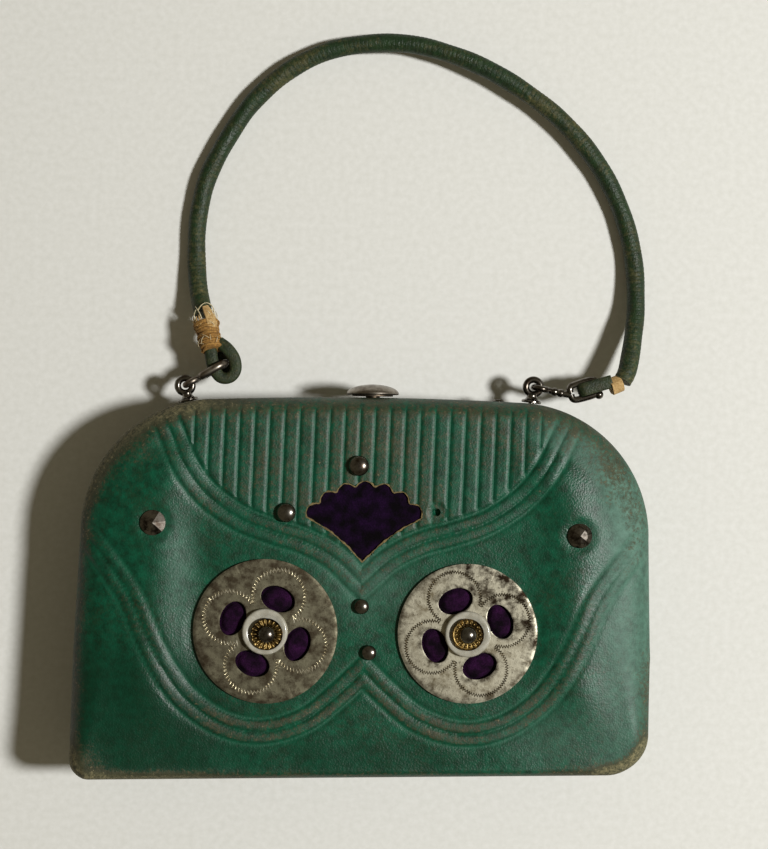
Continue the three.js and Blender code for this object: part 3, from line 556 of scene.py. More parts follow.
def halfOutline(low, sign):
    # from the foot up: quarter circle, bent side, quarter circle, low crown;
    # each row has its place, its outward normal and the width of the roll
    a = np.radians(np.linspace(-90, 0, 17))
    b = np.radians(np.linspace(0, 90, 41))
    share = np.linspace(0, 1, 12)[1:-1]
    top = np.linspace(1, 0, 16)[1:]
    bendY, bendX = sideBend(low)
    sideY = bendY[0] + share * (bendY[2] - bendY[0])
    r = low["radius"]
    sideX = np.interp(sideY, bendY, bendX)
    x = np.r_[low["x"] + r * np.cos(a), sideX, shoulderX + arm * np.cos(b), shoulderX * top]
    y = np.r_[r - half + r * np.sin(a), sideY, shoulderY + arm * np.sin(b), half - case["crown"] * top**2]
    nx = np.r_[np.cos(a), share * 0 + 1, np.cos(b), top * 0]
    ny = np.r_[np.sin(a), share * 0, np.sin(b), top * 0 + 1]
    roll = case["rollSide"] * nx**2 + np.where(ny > 0, case["rollTop"], case["rollFoot"]) * ny**2
    first, last = len(a), len(a) + len(share)
    roll[:first] = np.minimum(roll[:first], case["rollCorner"])
    roll[first:last] = np.interp(sideY, bendY[:2], [case["rollCorner"], case["rollSide"]])
    return np.stack([sign * x, y + footRise(sign * x, y), sign * nx, ny, roll], 1)


rightOutline = halfOutline(lowCorner["right"], 1)
leftOutline = halfOutline(lowCorner["left"], -1)
outline = np.vstack([rightOutline, leftOutline[:-1][::-1]])
outlineLoop = np.vstack([outline, outline[:1]])


def halfWidth(y, low):  # of one side at a height: foot arc, bent side, shoulder arc
    r = low["radius"]
    footArc = low["x"] + np.sqrt(np.clip(r**2 - (y - r + half) ** 2, 0, None))
    armArc = shoulderX + np.sqrt(np.clip(arm**2 - (y - shoulderY) ** 2, 0, None))
    return np.where(y < r - half, footArc, np.where(y > shoulderY, armArc, np.interp(y, *sideBend(low))))


def faceRows(footRows, middleRows, topRows):
    # heights of the rows, close together where the face rolls over, and the half widths there
    low = -half + case["rollFoot"] * (1 - np.cos(np.linspace(0, np.pi / 2, footRows)))
    high = half - case["crown"] - case["closeTop"] * (1 - np.cos(np.linspace(np.pi / 2, 0, topRows)))
    y = np.r_[low, np.linspace(low[-1], high[0], middleRows)[1:-1], high][:, None]
    return y, halfWidth(y, lowCorner["left"]), halfWidth(y, lowCorner["right"])


def crowned(x, y):  # rows bent up to the crown of the top edge and to the slope of the foot
    crown = case["crown"] * (1 - np.clip(np.abs(x) / shoulderX, 0, 1) ** 2)
    return x, y + crown * smoothStep(20, half - case["crown"], y) ** 2 + footRise(x, y)


def plainField():
    # columns even in the middle and drawn together at the sides; each row is as wide as the outline
    edge = 1 - 2 * case["rollSide"] / case["width"] * (1 - np.cos(np.linspace(0, np.pi / 2, 14)))
    s = np.r_[-edge, np.linspace(-edge[-1], edge[-1], 70)[1:-1], edge[::-1]]
    y, left, right = faceRows(6, 50, 12)
    return crowned((right - left) / 2 + s[None, :] * (right + left) / 2, y)


def flutedField():
    # twelve columns to a flute, close together in the pressed line;
    # outside the flutes they spread to the outline
    pitch, flutes, sideColumns = design["flutePitch"], design["flutes"], 40
    steps = np.array([0, 0.13, 0.3, 0.52, 0.85, 1.3, 1.85, 2.4, 2.85, 3.18, 3.4, 3.57])
    reach = flutes * pitch
    u = np.r_[(np.arange(-flutes, flutes)[:, None] * pitch + steps).ravel(), reach][None, :]
    y, left, right = faceRows(8, 192, 20)
    lean = design["shift"] + (y - half) * design["lean"]

    def drawnIn(limit):  # columns past the outline crowd together inside it; the others keep their flute
        limit = np.minimum(limit, reach)
        knee = limit - 3
        crowded = knee + (np.abs(u) - knee) * (limit - knee) / (reach - knee)
        return np.where(np.abs(u) > knee, crowded, np.abs(u))

    middle = np.where(u > 0, drawnIn(right - 3.2 - lean), -drawnIn(left - 3.2 + lean)) + lean
    t = np.linspace(0, 1, sideColumns + 1)[1:]
    t = (0.35 * t + 0.65 * np.sin(t * np.pi / 2))[None, :]
    rightPart = middle[:, -1:] + (right - middle[:, -1:]) * t
    leftPart = middle[:, :1] - (left + middle[:, :1]) * t[:, ::-1]
    return crowned(np.hstack([leftPart, middle, rightPart]), y)


def rollAt(x, y):  # distance to the outline, and the width of the roll there
    gap, _, *spot = nearest(x, y, outlineLoop[:, :2])
    return gap, carried(outlineLoop[:, 4], *spot)


upperSwag = [(50.4, 42.2), (48.4, 38.4), (45.4, 31.7), (41.7, 26), (37.2, 21.4), (30, 16.7), (21.6, 13.7),
             (14.5, 11.6), (7, 7.7), (0, 1.3)]
lowerSwag = [(67.6, 11.2), (62.8, 5.5), (57.4, -2.2), (53.5, -11), (49, -19.8), (43, -27.7), (34, -33.6),
             (24, -35.2), (13.8, -32), (6, -25.8), (0, -20)]
fan = dict(tipY=6.5, centreY=8.7, radius=17.5, low=31.7, lobes=7, lobe=1.25, bow=1.0)
discs = [
    dict(side="left", x=-24, radius=17.7, turn=69, cupX=0.55, cupY=-0.45, beadAt=3.0, beadLong=0.72,
         period=0.85, cut=0.4, swing=0.62),
    dict(side="right", x=25.6, radius=17.1, turn=111, cupX=0, cupY=0, beadAt=2.9, beadLong=0.42, period=0.62,
         cut=0.26, swing=0.5),
]
disc = dict(y=-10.4, low=28.3, high=29.1, pocket=12.6)
studs = [
    dict(name="stud_top", x=-1.5, y=30.4, radius=2.5, over=0.7, facets=0),
    dict(name="stud_fan_left", x=-19.2, y=18.7, radius=2.38, over=0.7, facets=0),
    # the cut studs list, facet by facet, how dark each facet is painted: painted shade for dark reflections
    dict(name="stud_side_left", x=-51.8, y=15.9, radius=3.1, over=0.75, facets=7, facing=-18,
         slope=0.46, knee=1.0, facetShade=(0, 0.1, 0.3, 0.2, 0.7, 1, 1)),
    dict(name="stud_side_right", x=52.8, y=13.9, radius=3.0, over=0.75, facets=8, facing=-16,
         slope=0.37, knee=0.6, facetShade=(0, 0.9, 0.3, 0.1, 0.3, 0.6, 1, 1)),
    dict(name="stud_mid_upper", x=-0.5, y=-4.1, radius=1.88, over=0.5, facets=0),
    dict(name="stud_mid_lower", x=1.5, y=-15.4, radius=1.85, over=0.5, facets=0),
]
lostStud = dict(x=17.7, y=19.2, hole=1.0, print=2.4, deep=2.0)
pocketDepth = 1.4
snapReach = 0.23


def leanAt(y):  # sideways lean of the upper design at a height
    return design["shift"] + (y - half) * design["lean"]


def fanLine(count, inset=0.0):  # edges bowed in from the tip, and lobes |sin| round the top, leaning
    t = np.linspace(0, 1, count)
    low = math.radians(fan["low"])
    a = low + t * (np.pi - 2 * low)
    r = fan["radius"] - inset - fan["lobe"] / 2 + fan["lobe"] * np.abs(np.sin(fan["lobes"] * np.pi * t))
    lobed = np.stack([r * np.cos(a), fan["centreY"] + r * np.sin(a)], 1)
    tip = np.array([0, fan["tipY"] + inset * 1.15])
    t = np.linspace(0, 1, 13)[:-1, None]
    bow = fan["bow"] * np.sin(t * np.pi)
    right = tip + (lobed[0] - tip) * t + bow * np.array([-0.5, 0.86])
    left = tip + (lobed[-1] - tip) * t + bow * np.array([0.5, 0.86])
    line = np.vstack([right, lobed, left[:0:-1]])
    return line + np.stack([leanAt(line[:, 1]), 0 * line[:, 1]], 1)


def swagGap(x, y, rows):  # signed distance from a swag's middle line, below and outside it positive
    line = spline(rows, 10)
    last = line[-1] + unit(line[-1] - line[-2]) * 4
    gap, side, *_ = nearest(np.abs(x), y, np.vstack([line, last]))
    return gap * side


def ribbed(near, sharp):
    # height of a pressed pattern: groove at 0, crest at 1, a narrow line between round ribs
    return design["groove"] + (design["crest"] - design["groove"]) * (1 - (1 - near) ** sharp)


def pressedBand(offset):  # three pressed lines with two round ribs between them; nothing outside
    spacing = design["spacing"]
    near = np.abs(((offset / spacing + 0.5) % 1) - 0.5) * 2
    tail = design["groove"] * np.exp(-(((np.abs(offset) - spacing) / 0.75) ** 2))
    return np.where(np.abs(offset) <= spacing, ribbed(near, design["swagSharp"]), tail)


def frontRelief(x, y, gap):
    # the two swags, the flutes over the upper one, a low swell along the sides, dimples at the studs
    ux = x - leanAt(y)
    upper, lower = swagGap(ux, y, upperSwag), swagGap(x, y, lowerSwag)
    flute = ribbed(np.abs(((ux / design["flutePitch"]) % 1) - 0.5) * 2, design["sharp"])
    inPanel = smoothStep(-design["spacing"] - 0.2, -design["spacing"] - 1.4, upper)
    top = smoothStep(0.6, 3.5, gap)
    relief = pressedBand(upper) * (0.25 + 0.75 * top)
    relief = relief * (1 - inPanel) + flute * inPanel * (0.3 + 0.7 * top)
    band = pressedBand(lower) * (0.35 + 0.65 * smoothStep(0.5, 4, gap))
    relief = np.where((np.abs(lower) < np.abs(upper)) & (inPanel < 0.01), band, relief)
    line = np.where(relief < -0.08, np.clip(relief / design["groove"], 0, 1), 0)
    crest = np.clip(relief / design["crest"], 0, 1)

    sideGap = np.interp(y, rightOutline[:, 1], rightOutline[:, 0]) - np.abs(x)
    swell = design["swell"] * np.exp(-(((sideGap - design["swellIn"]) / design["swellWide"]) ** 2))
    swell = swell * smoothStep(-40, -22, y) * (1 - smoothStep(26, 40, y))
    wave = 0.05 * np.sin(x * 0.19 + 0.7) * np.sin(y * 0.23 + 0.4) + 0.04 * np.sin(x * 0.41 + y * 0.33)
    calm = np.ones_like(x)
    for d in discs:
        calm *= smoothStep(d["radius"] - 1, d["radius"] + 3, np.hypot(x - d["x"], y - disc["y"]))
    for s in studs:
        far = np.hypot(x - s["x"], y - s["y"])
        calm *= 1 - 0.34 * (1 - smoothStep(s["radius"] * 0.8, s["radius"] + 2.4, far))
    relief = relief + (swell + wave) * calm
    far = np.hypot(x - lostStud["x"], y - lostStud["y"])
    seat = 1 - smoothStep(lostStud["print"] - 0.3, lostStud["print"] + 0.3, far)
    brim = 0.1 * np.exp(-(((far - lostStud["print"]) / 0.35) ** 2))
    relief = relief * (1 - 0.85 * seat) - 0.12 * seat + brim
    return relief, crest, line


def coverShell(x, y, gap, roll, lift):
    # the face grid, rolled down as a quarter ellipse at its edge, then rings: side wall, turned rim,
    # inner wall, inner roll, and a cap drawn to the middle
    share = np.clip(gap / roll, 0, 1)
    z = case["depth"] - case["rollHeight"] * (1 - np.sqrt(1 - (1 - share) ** 2)) + lift
    face = np.stack([x, y, z], -1).reshape(-1, 3)
    index = np.arange(x.size).reshape(x.shape)
    quads = np.stack([index[:-1, :-1], index[:-1, 1:], index[1:, 1:], index[1:, :-1]], -1).reshape(-1, 4)
    loop = np.r_[index[0, :-1], index[:-1, -1], index[-1, :0:-1], index[:0:-1, 0]]
    edge, count = face[loop][:, :2], len(loop)
    ahead = np.roll(edge, -1, 0) - np.roll(edge, 1, 0)
    out = unit(np.stack([ahead[:, 1], -ahead[:, 0]], 1))
    edgeRoll = roll.ravel()[loop]
    wall, turnIn = case["wall"], case["turnIn"]
    rim, bend = case["depth"] - case["coverDepth"], case["depth"] - case["rollHeight"]
    rings = [(0, rim + turnIn), (turnIn, rim), (wall - turnIn, rim), (wall, rim + turnIn), (wall, bend)]
    for a in np.linspace(0, np.pi / 2, 4)[1:]:
        inset = wall + np.maximum(edgeRoll - wall, turnIn) * (1 - np.cos(a))
        rings.append((inset[:, None], bend + (case["rollHeight"] - wall) * np.sin(a)))
    layers = [(edge - out * inset, level) for inset, level in rings]
    layers += [(layers[-1][0] * share, layers[-1][1]) for share in (0.4, 0.0)]
    points = np.vstack([face, *[np.column_stack([ring, np.full(count, level)]) for ring, level in layers]])
    loops = [loop, *[len(face) + k * count + np.arange(count) for k in range(len(layers))]]
    # the wall quads run the other way round the rim, so that the whole shell faces out
    walls = [np.stack([below, np.roll(below, -1), np.roll(above, -1), above], -1)
             for above, below in zip(loops[:-1], loops[1:])]
    finish = np.r_[np.zeros(len(quads) + 3 * count), np.ones(count * (len(walls) - 3))]
    return points, np.vstack([quads, *walls]), finish


def flipped(points):  # the other half of the case is worked out upside down
    return points * np.array([1, 1, -1]) + np.array([0, 0, case["depth"]])


def softMark(x, y, atX, wide, atY, tall):  # a soft round mark
    return np.exp(-(((x - atX) / wide) ** 2) - (((y - atY) / tall) ** 2))


def frontWear(x, y, gap, crest):
    # dye rubbed off crests, the top edge, the shoulders, the sides and the lower corners;
    # then the pale share, partly paled dye and partly painted highlight, and a darker share low down
    across, low = np.abs(x), np.hypot((x - 66) / 12, (y + 42) / 10)
    edgeBand = smoothStep(5, 0.5, gap)
    armBand = smoothStep(11, 8, gap) * smoothStep(1, 4, gap) * smoothStep(38, 48, x) * smoothStep(2, 16, y)
    shares = [
        (0.55, crest * (0.55 + 0.5 * softMark(x, y, -2, 40, 30, 16))),  # crests, most round the fan
        (0.16, softMark(x, y, 0, 16, 4, 14)),  # middle
        (0.52, smoothStep(8, 0.5, half - y) * smoothStep(62, 40, across)),  # top edge
        (0.58, smoothStep(10, 0.5, gap) * smoothStep(6, 26, y) * smoothStep(34, 48, across)),  # shoulders
        (0.3, crest * smoothStep(-20, -30, y)),  # foot of the lower swag
        (0.8, edgeBand * smoothStep(-10, -50, x)),  # left edge
        (0.55, edgeBand * smoothStep(40, 62, x) * smoothStep(-4, -26, y)),  # right edge
        (0.9, 1.9 * smoothStep(1, 0.2, low) * smoothStep(6, 1, gap)),  # lower right corner
        (0.9, 0.85 * smoothStep(13, 2, np.hypot(x + 71, y + 47))),  # lower left corner
        (0.6, smoothStep(4, 0.5, gap) * smoothStep(-38, -46, y)),  # foot edge
        (0.36, softMark(x, y, 60, 4.5, 26, 9) + 0.8 * softMark(x, y, -54, 5, 34, 6)),  # shoulder patches
        (0.12, armBand),  # band inside the right shoulder
        (0.16, smoothStep(28, 56, x) * smoothStep(4, -18, y)),  # lower right
    ]
    wear = 0.08 + sum(weight * share for weight, share in shares)
    # pale share: the right roll is partly paled dye, partly a painted highlight where the lamp's sheen falls
    fadedAndHighlight = 0.86 * smoothStep(53, 64, x) * (0.45 + 0.55 * smoothStep(-38, -14, y)) * smoothStep(40, 24, y)
    # painted highlight: a sheen band beside the left stud, and a patch in the middle
    fadedAndHighlight = fadedAndHighlight + 0.52 * softMark(x, y, -45, 3.5, 4, 16) + 0.35 * softMark(x, y, 0, 10, 2, 9)
    # a pale band inside the right shoulder, and a pale patch low on the right
    fadedAndHighlight = fadedAndHighlight + 0.62 * armBand + 0.3 * softMark(x, y, 47, 12, -36, 8)
    # darker towards the lower left and along the middle of the foot
    darkerLow = 0.62 * smoothStep(-18, -44, x) * smoothStep(-4, -26, y)
    darkerLow = darkerLow + 0.42 * smoothStep(34, 10, across) * smoothStep(-34, -40, y)
    return np.clip(wear, 0, 1.6), np.clip(fadedAndHighlight, 0, 1.3), darkerLow


def frontCover():
    x, y = flutedField()
    fanEdge = fanLine(113)
    turn = fullTurn(24)
    ring = lostStud["hole"] * np.stack([np.cos(turn), np.sin(turn)], 1)
    holeEdge = np.array([lostStud["x"], lostStud["y"]]) + ring
    box = (np.abs(x - 2) < 24) & (y > 0) & (y < 32)
    nx, ny, onFan = snapTo(x[box], y[box], fanEdge, snapReach)
    nx, ny, onHole = snapTo(nx, ny, holeEdge, snapReach)
    x[box], y[box] = nx, ny
    inFan, inHole, under = (np.zeros(x.shape, bool) for _ in range(3))
    inFan[box] = within(nx, ny, fanEdge) & ~onFan
    inHole[box] = within(nx, ny, holeEdge) & ~onHole
    for d in discs:
        under |= np.hypot(x - d["x"], y - disc["y"]) < disc["pocket"]
    gap, roll = rollAt(x, y)
    lift, crest, line = frontRelief(x, y, gap)
    lift *= smoothStep(0.0, 1.2, gap)
    lift = np.where(inHole, -lostStud["deep"], np.where(inFan | under, -pocketDepth, lift))
    points, quads, finish = coverShell(x, y, gap, roll, lift)
    wear, fadedAndHighlight, darkerLow = frontWear(x, y, gap, crest)
    wear = np.where(inFan | inHole | under, 0, wear)
    fadedAndHighlight = np.where(under, 0, fadedAndHighlight)
    rest = points[x.size:, 2]
    sides = np.where(rest < case["depth"] - case["coverDepth"] + 3, 0.35, 0.2)
    marks = dict(wear=np.r_[wear.ravel(), sides])
    for key, values in dict(deep=0.5 * line + 0.9 * inHole, fadedAndHighlight=fadedAndHighlight, darkerLow=darkerLow).items():
        marks[key] = np.r_[values.ravel(), 0 * rest]
    putPiece("front_leather", [(points, quads)], [greenLeather, liningSkin], "front_half",
             50, ["front_cover"], marks, finish)


def backCover():
    x, y = plainField()
    gap, roll = rollAt(x, y)
    wave = 0.05 * np.sin(x * 0.17 + 0.3) * np.sin(y * 0.21)
    points, quads, finish = coverShell(x, y, gap, roll, -np.abs(wave) * smoothStep(1, 5, gap))
    wear = 0.3 + 0.4 * smoothStep(8, 0.5, gap)
    marks = dict(wear=np.r_[wear.ravel(), np.full(len(points) - x.size, 0.35)], deep=np.zeros(len(points)))
    putPiece("back_leather", [(flipped(points), quads)], [greenLeather, liningSkin], "back_half",
             50, ["back_cover"], marks, finish)


frontCover()
backCover()
print("covers pressed")

# Cut edge of the leather round the fan, and the velvet behind the openings.
cutEdge = dict(wide=0.4, low=27.2, high=28.06)
velvet = dict(low=26.9, high=27.55, ripple=0.05, puff=1.05, radius=12.3, inset=0.36, middleY=16)
petal = dict(at=8.5, radial=3.1, tangent=4.35)


def fanTrim():
    # a thin rounded strip carried round the fan just inside the cut, wavy as a knife left it
    line = fanLine(240)
    path = evenly(np.vstack([line, line[:1]]), 361)[0][:-1]
    ahead = unit(np.roll(path, -1, 0) - np.roll(path, 1, 0))
    inward = np.stack([-ahead[:, 1], ahead[:, 0]], 1)
    step = np.arange(len(path))[:, None]
    wide = cutEdge["wide"] * (0.85 + ripples(step, ((0.25, 0.23, 0), (0.15, 0.71, 1))))
    rise = ripples(step, ((0.05, 0.37, 0), (0.04, 1.1, 0)))
    out = np.array([[-0.35, -0.3, 0.1, 0.75, 1, 1]]) * wide
    high, low = cutEdge["high"], cutEdge["low"]
    level = np.array([[low, high - 0.12, high, high - 0.05, high - 0.3, low]])
    level = level + rise * np.array([[0, 1, 1, 1, 1, 0]])
    grid = np.stack([path[:, :1] + inward[:, :1] * out, path[:, 1:] + inward[:, 1:] * out, level], -1)
    putPiece("fan_cut_edge", [shellOf(grid, True)], rawEdge, "front_half", 50)


def petalPuff(x, y, d):  # the pile stands up through each petal hole, lowest at the edge of the hole
    rise = np.zeros(x.shape)
    for k in range(4):
        a = math.radians(d["turn"] + 90 * k)
        u = (x - d["x"]) * math.cos(a) + (y - disc["y"]) * math.sin(a) - petal["at"]
        w = (y - disc["y"]) * math.cos(a) - (x - d["x"]) * math.sin(a)
        rise += velvet["puff"] * smoothStep(1.0, 0.6, np.hypot(u / petal["radial"], w / petal["tangent"]))
    return rise


def velvetPad(side, rim, middle, rows, finish, puffs=None):
    # rings drawn from the rim to the middle; the pile's top is slightly crowned and ruffled
    t = np.linspace(1, 0, rows)[:, None, None]
    ring = middle + (rim[None] - middle) * t
    x, y = ring[..., 0], ring[..., 1]
    nap = np.sin(x * 3.1 + np.sin(y * 2.3)) * np.sin(y * 2.7 + 0.6) + 0.6 * np.sin(x * 7.3 + y * 5.9)
    top = velvet["high"] + velvet["ripple"] * nap - 0.14 * t[..., 0] ** 6
    top = top + (petalPuff(x, y, puffs) if puffs else 0)
    upper = np.stack([x, y, top], -1)
    lower = np.stack([x[::-1], y[::-1], np.full(x.shape, velvet["low"])], -1)
    putPiece("velvet_" + side + "_pile", [shellOf(np.concatenate([lower, upper]))], finish, "front_half",
             60, ["velvet_" + side])


fanTrim()
fanMiddle = np.array([leanAt(velvet["middleY"]), velvet["middleY"]])
velvetPad("fan", fanLine(161, velvet["inset"]), fanMiddle, 30, fanVelvet)
for d in discs:
    middle, padTurn = np.array([d["x"], disc["y"]]), fullTurn(144)
    rim = middle + velvet["radius"] * np.stack([np.cos(padTurn), np.sin(padTurn)], 1)
    velvetPad(d["side"], rim, middle, 44, discVelvet, d)
print("velvet laid")

# Pierced and engraved discs with their rosettes.
engraving = dict(at=9.3, radius=6.4, reach=128, height=0.12)
pearl = dict(outer=5.65, inner=2.9, low=29.4, high=31.0, round=0.55)
cup = dict(radius=3.9, low=31.3, high=32.2, beads=18, beadRise=0.42)
centreStud = dict(radius=2.15, brim=2.0, under=32.3, neck=32.35, base=32.4, rise=1.6)
shank = dict(radius=0.7, low=24.6)
studHead = dict(seat=0.3, brim=0.95, rise=0.55, lift=0.1)


def piercedDisc(d):
    # each quarter is a fan of rays from its petal hole to its border: wedge lines or the disc's edge
    edge, at, onEdge = d["radius"], petal["at"], 41
    span = math.atan2(edge * math.sin(math.pi / 4), edge * math.cos(math.pi / 4) - at)
    phi = np.r_[np.linspace(-span, span, onEdge), np.linspace(span, 2 * np.pi - span, onEdge)[1:-1]]
    c, s = np.cos(phi), np.sin(phi)
    hole = 1 / np.sqrt((c / petal["radial"]) ** 2 + (s / petal["tangent"]) ** 2)
    rim = -at * c + np.sqrt(edge**2 - (at * s) ** 2)
    wedge = at / np.maximum(np.abs(s) - c, 1e-6)
    border = np.where(np.abs(s) > c + 1e-6, np.minimum(rim, wedge), rim)
    v = np.r_[0, 0.02, np.linspace(0.06, 0.94, 13), 0.985, 1][:, None]
    t = hole + (border - hole) * v
    u, w = at + t * c, t * s
    layers = []
    for k in range(4):
        a = math.radians(d["turn"] + 90 * k)
        x = u * math.cos(a) - w * math.sin(a)
        y = u * math.sin(a) + w * math.cos(a)
        wave = 0.02 * np.sin(x * 0.31 + 1) * np.sin(y * 0.27)
        fall = 0.08 * smoothStep(edge - 0.5, edge, np.hypot(x, y)) + 0.02 * smoothStep(0.03, 0.0, v)
        layers += [np.stack([x, y, z + 0 * x], -1) for z in (disc["high"] + wave - fall, disc["low"])]
    n, total = len(phi), t.size
    j, k = np.arange(n), np.arange(onEdge - 1) + total - n
    face = shellOf(layers[0])[1]
    inner = np.stack([j, j + total, (j + 1) % n + total, (j + 1) % n], -1)
    outer = np.stack([k, k + 1, k + 1 + total, k + total], -1)
    quarter = np.vstack([face, face[:, ::-1] + total, inner, outer])
    points = np.vstack([layer.reshape(-1, 3) for layer in layers])
    quads = np.vstack([quarter + 2 * total * q for q in range(4)])
    x, y = points[:, 0], points[:, 1]
    far = np.hypot(x, y)
    rimStain = np.tile(np.repeat(smoothStep(0.3, 0.0, v[:, 0]), n), 8)  # brown bloom round each hole
    if d["side"] == "right":  # black stains over the upper right
        stain = smoothStep(4, 13, 0.62 * x + 0.78 * y) * smoothStep(-9, 0, y) + 0.95 * rimStain
        stain = stain + 0.6 * smoothStep(13, 17, far)
    else:
        stain = 0.5 * smoothStep(9, 17, far) + 0.6 * rimStain
    putPiece("disc_" + d["side"] + "_pierced", [moved((points, quads), d["x"], disc["y"])],
             brightSilver if d["side"] == "right" else tarnishedSilver, "front_half", 40,
             ["disc_" + d["side"]], dict(stain=np.clip(stain, 0, 1)))


def wriggleCut(d):
    # a zigzag cut carried round an arc behind each petal: radius swings out and in every period
    shells = []
    reach = math.radians(engraving["reach"])
    strokes = int(engraving["radius"] * math.radians(2 * engraving["reach"]) / d["period"] * 2)
    t = np.linspace(-1, 1, strokes * 3 + 1)
    step = np.arange(len(t))
    w, h = d["cut"] / 2, engraving["height"]
    for k in range(4):
        a = math.radians(d["turn"] + 90 * k)
        zigzag = 2 * np.abs((step / 6) % 1 * 2 - 1) - 1
        swing = d["swing"] * zigzag * (0.85 + 0.15 * np.sin(step * 0.37 + k))
        r = engraving["radius"] + swing
        x = d["x"] + engraving["at"] * math.cos(a) + r * np.cos(a + reach * t)
        y = disc["y"] + engraving["at"] * math.sin(a) + r * np.sin(a + reach * t)
        path = np.stack([x, y, np.full(len(t), disc["high"])], 1)
        shells.append(shellOf(sweep(path, np.array([[-w, 0, w, 0]]), np.array([[-0.02, h, -0.02, -0.1]]))))
    putPiece("disc_" + d["side"] + "_engraving", shells, cutSilver if d["side"] == "left" else filledCut,
             "front_half", 20)


def domedStud(neck, brim, radius, rise, base):  # a dome on a brim, and a shank through the leather
    rows = [[0, shank["low"]], [shank["radius"], shank["low"]], [shank["radius"], neck], brim]
    return shellOf(turned(np.vstack([rows, arcRows(radius, rise, base, 14)]), 40))


def rosette(d):
    side, low, high = d["side"], pearl["low"], pearl["high"]
    middle = pearl["outer"] - pearl["round"]
    outer = arcRows(pearl["round"], (high - low) / 2, (low + high) / 2, 9, -90, middle)
    rows = np.vstack([[[pearl["inner"], low]], outer,
                      [[4.4, high - 0.02], [4.2, high - 0.16], [pearl["inner"], high - 0.2]]])
    ring = moved(shellOf(turned(rows, 72), True), d["x"], disc["y"])
    putPiece("pearl_ring_" + side + "_turned", [ring], pearlShell, "front_half", 50,
             ["pearl_ring_" + side])

    # the cup is a dish whose rim carries round beads: height = dish + bead rise * |cos| over the bead ring
    edge, columns = cup["radius"], cup["beads"] * 12
    r = np.r_[0.0, np.linspace(0.8, edge, 30)][:, None]
    turn = fullTurn(columns)[None, :]
    dish = cup["high"] - 0.45 + 0.4 * smoothStep(edge - 0.4, edge - 0.1, r)
    dish = dish - 0.25 * smoothStep(edge - 0.1, edge, r)
    bead = np.clip(np.cos(turn * cup["beads"]) * 0.62 + 0.38, 0, 1) ** 0.7
    bead = bead * np.sqrt(np.clip(1 - ((r - d["beadAt"]) / d["beadLong"]) ** 2, 0, 1))
    upper = np.stack([r * np.cos(turn), r * np.sin(turn), dish + cup["beadRise"] * bead], -1)
    under = turned([(edge, cup["high"] - 0.2), (edge - 0.8, cup["low"]), (0, cup["low"])], columns)
    stain = np.concatenate([0.95 * (1 - bead), np.ones((3, columns))])
    place = (d["x"] + d["cupX"], disc["y"] + d["cupY"])
    beaded = moved(shellOf(np.concatenate([upper, under])), *place)
    putPiece("gilt_cup_" + side + "_beaded", [beaded], giltBrass, "front_half", 50,
             ["gilt_cup_" + side], dict(stain=stain.ravel()))
    c = centreStud
    stud = domedStud(c["neck"], [c["brim"], c["under"]], c["radius"], c["rise"], c["base"])
    putPiece("centre_stud_" + side + "_dome", [moved(stud, *place)], darkSteel, "front_half",
             45, ["centre_stud_" + side])


for d in discs:
    piercedDisc(d)
    wriggleCut(d)
    rosette(d)
print("discs and rosettes made")


def facetedStud(s, base):
    # height = top less slope * distance along the facing of the nearest facet, so flat facets meet in a point
    step = 2 * np.pi / s["facets"]
    turn = fullTurn(s["facets"] * 10)[None, :]
    r = s["radius"] * np.r_[1, np.linspace(0.92, 0, 24)][:, None]
    off = (turn + step / 2) % step - step / 2
    reach, knee, steeper = r * np.cos(off), s["knee"] * s["radius"], 0.8 - s["slope"]
    z = base + s["radius"] * (s["slope"] + 0.12) - s["slope"] * reach
    z = z + steeper * (s["radius"] - knee - np.clip(reach - knee, 0, None))  # steep outside the knee
    r = np.vstack([r[:1] - 0.02, r])
    z = np.vstack([0 * z[:1] + base, z])
    head = np.stack([r * np.cos(turn), r * np.sin(turn), z], -1)
    stem = turned([(0, shank["low"]), (shank["radius"], shank["low"]), (shank["radius"], base)], turn.size)
    grid = np.concatenate([stem, head])
    facet = np.round(turn / step).astype(int) % s["facets"]
    # some facets are painted near black: painted shade standing in for the dark reflections of polished steel
    marks = dict(stain=np.tile(np.array(s["facetShade"])[facet].ravel(), len(grid)))  # each facet has its own tone
    return shellOf(spin(grid, s["facing"], "z")), marks


for s in studs:
    base, cut = case["depth"] + s["over"] + studHead["seat"], s["facets"] > 0
    if cut:
        head, marks = facetedStud(s, base)
    else:
        brim, rise = [s["radius"] * studHead["brim"], base], s["radius"] * studHead["rise"]
        head, marks = domedStud(base, brim, s["radius"], rise, base + studHead["lift"]), None
    putPiece(s["name"] + "_head", [moved(head, s["x"], s["y"])], cutSteel if cut else darkSteel, "front_half",
             12 if cut else 45, [s["name"]], marks)
print("studs set")

# Steel frames, hinge knuckles, clasp and eyes.
frameBar = dict(inset=0.2, width=3.3, lip=0.8, lipDepth=3.2, rim=9.8, seam=13.7, edge=0.35)
hinge = dict(x=51.5, y=-half + foot["lift"] + 0.3, barrel=1.1, bore=0.8, knuckle=3.4, gap=0.3, chamfer=0.12,
             notch=6.0, slip=0.02, clear=1.2, footY=-44, leafY=0.45, leafZ=-1.85,
             leafShort=0.1, leafHalf=0.4, leafLow=-1.1, leafHigh=0.9)
button = dict(x=1.6, z=16.25, radius=6.55, base=0.75, rise=3.35)


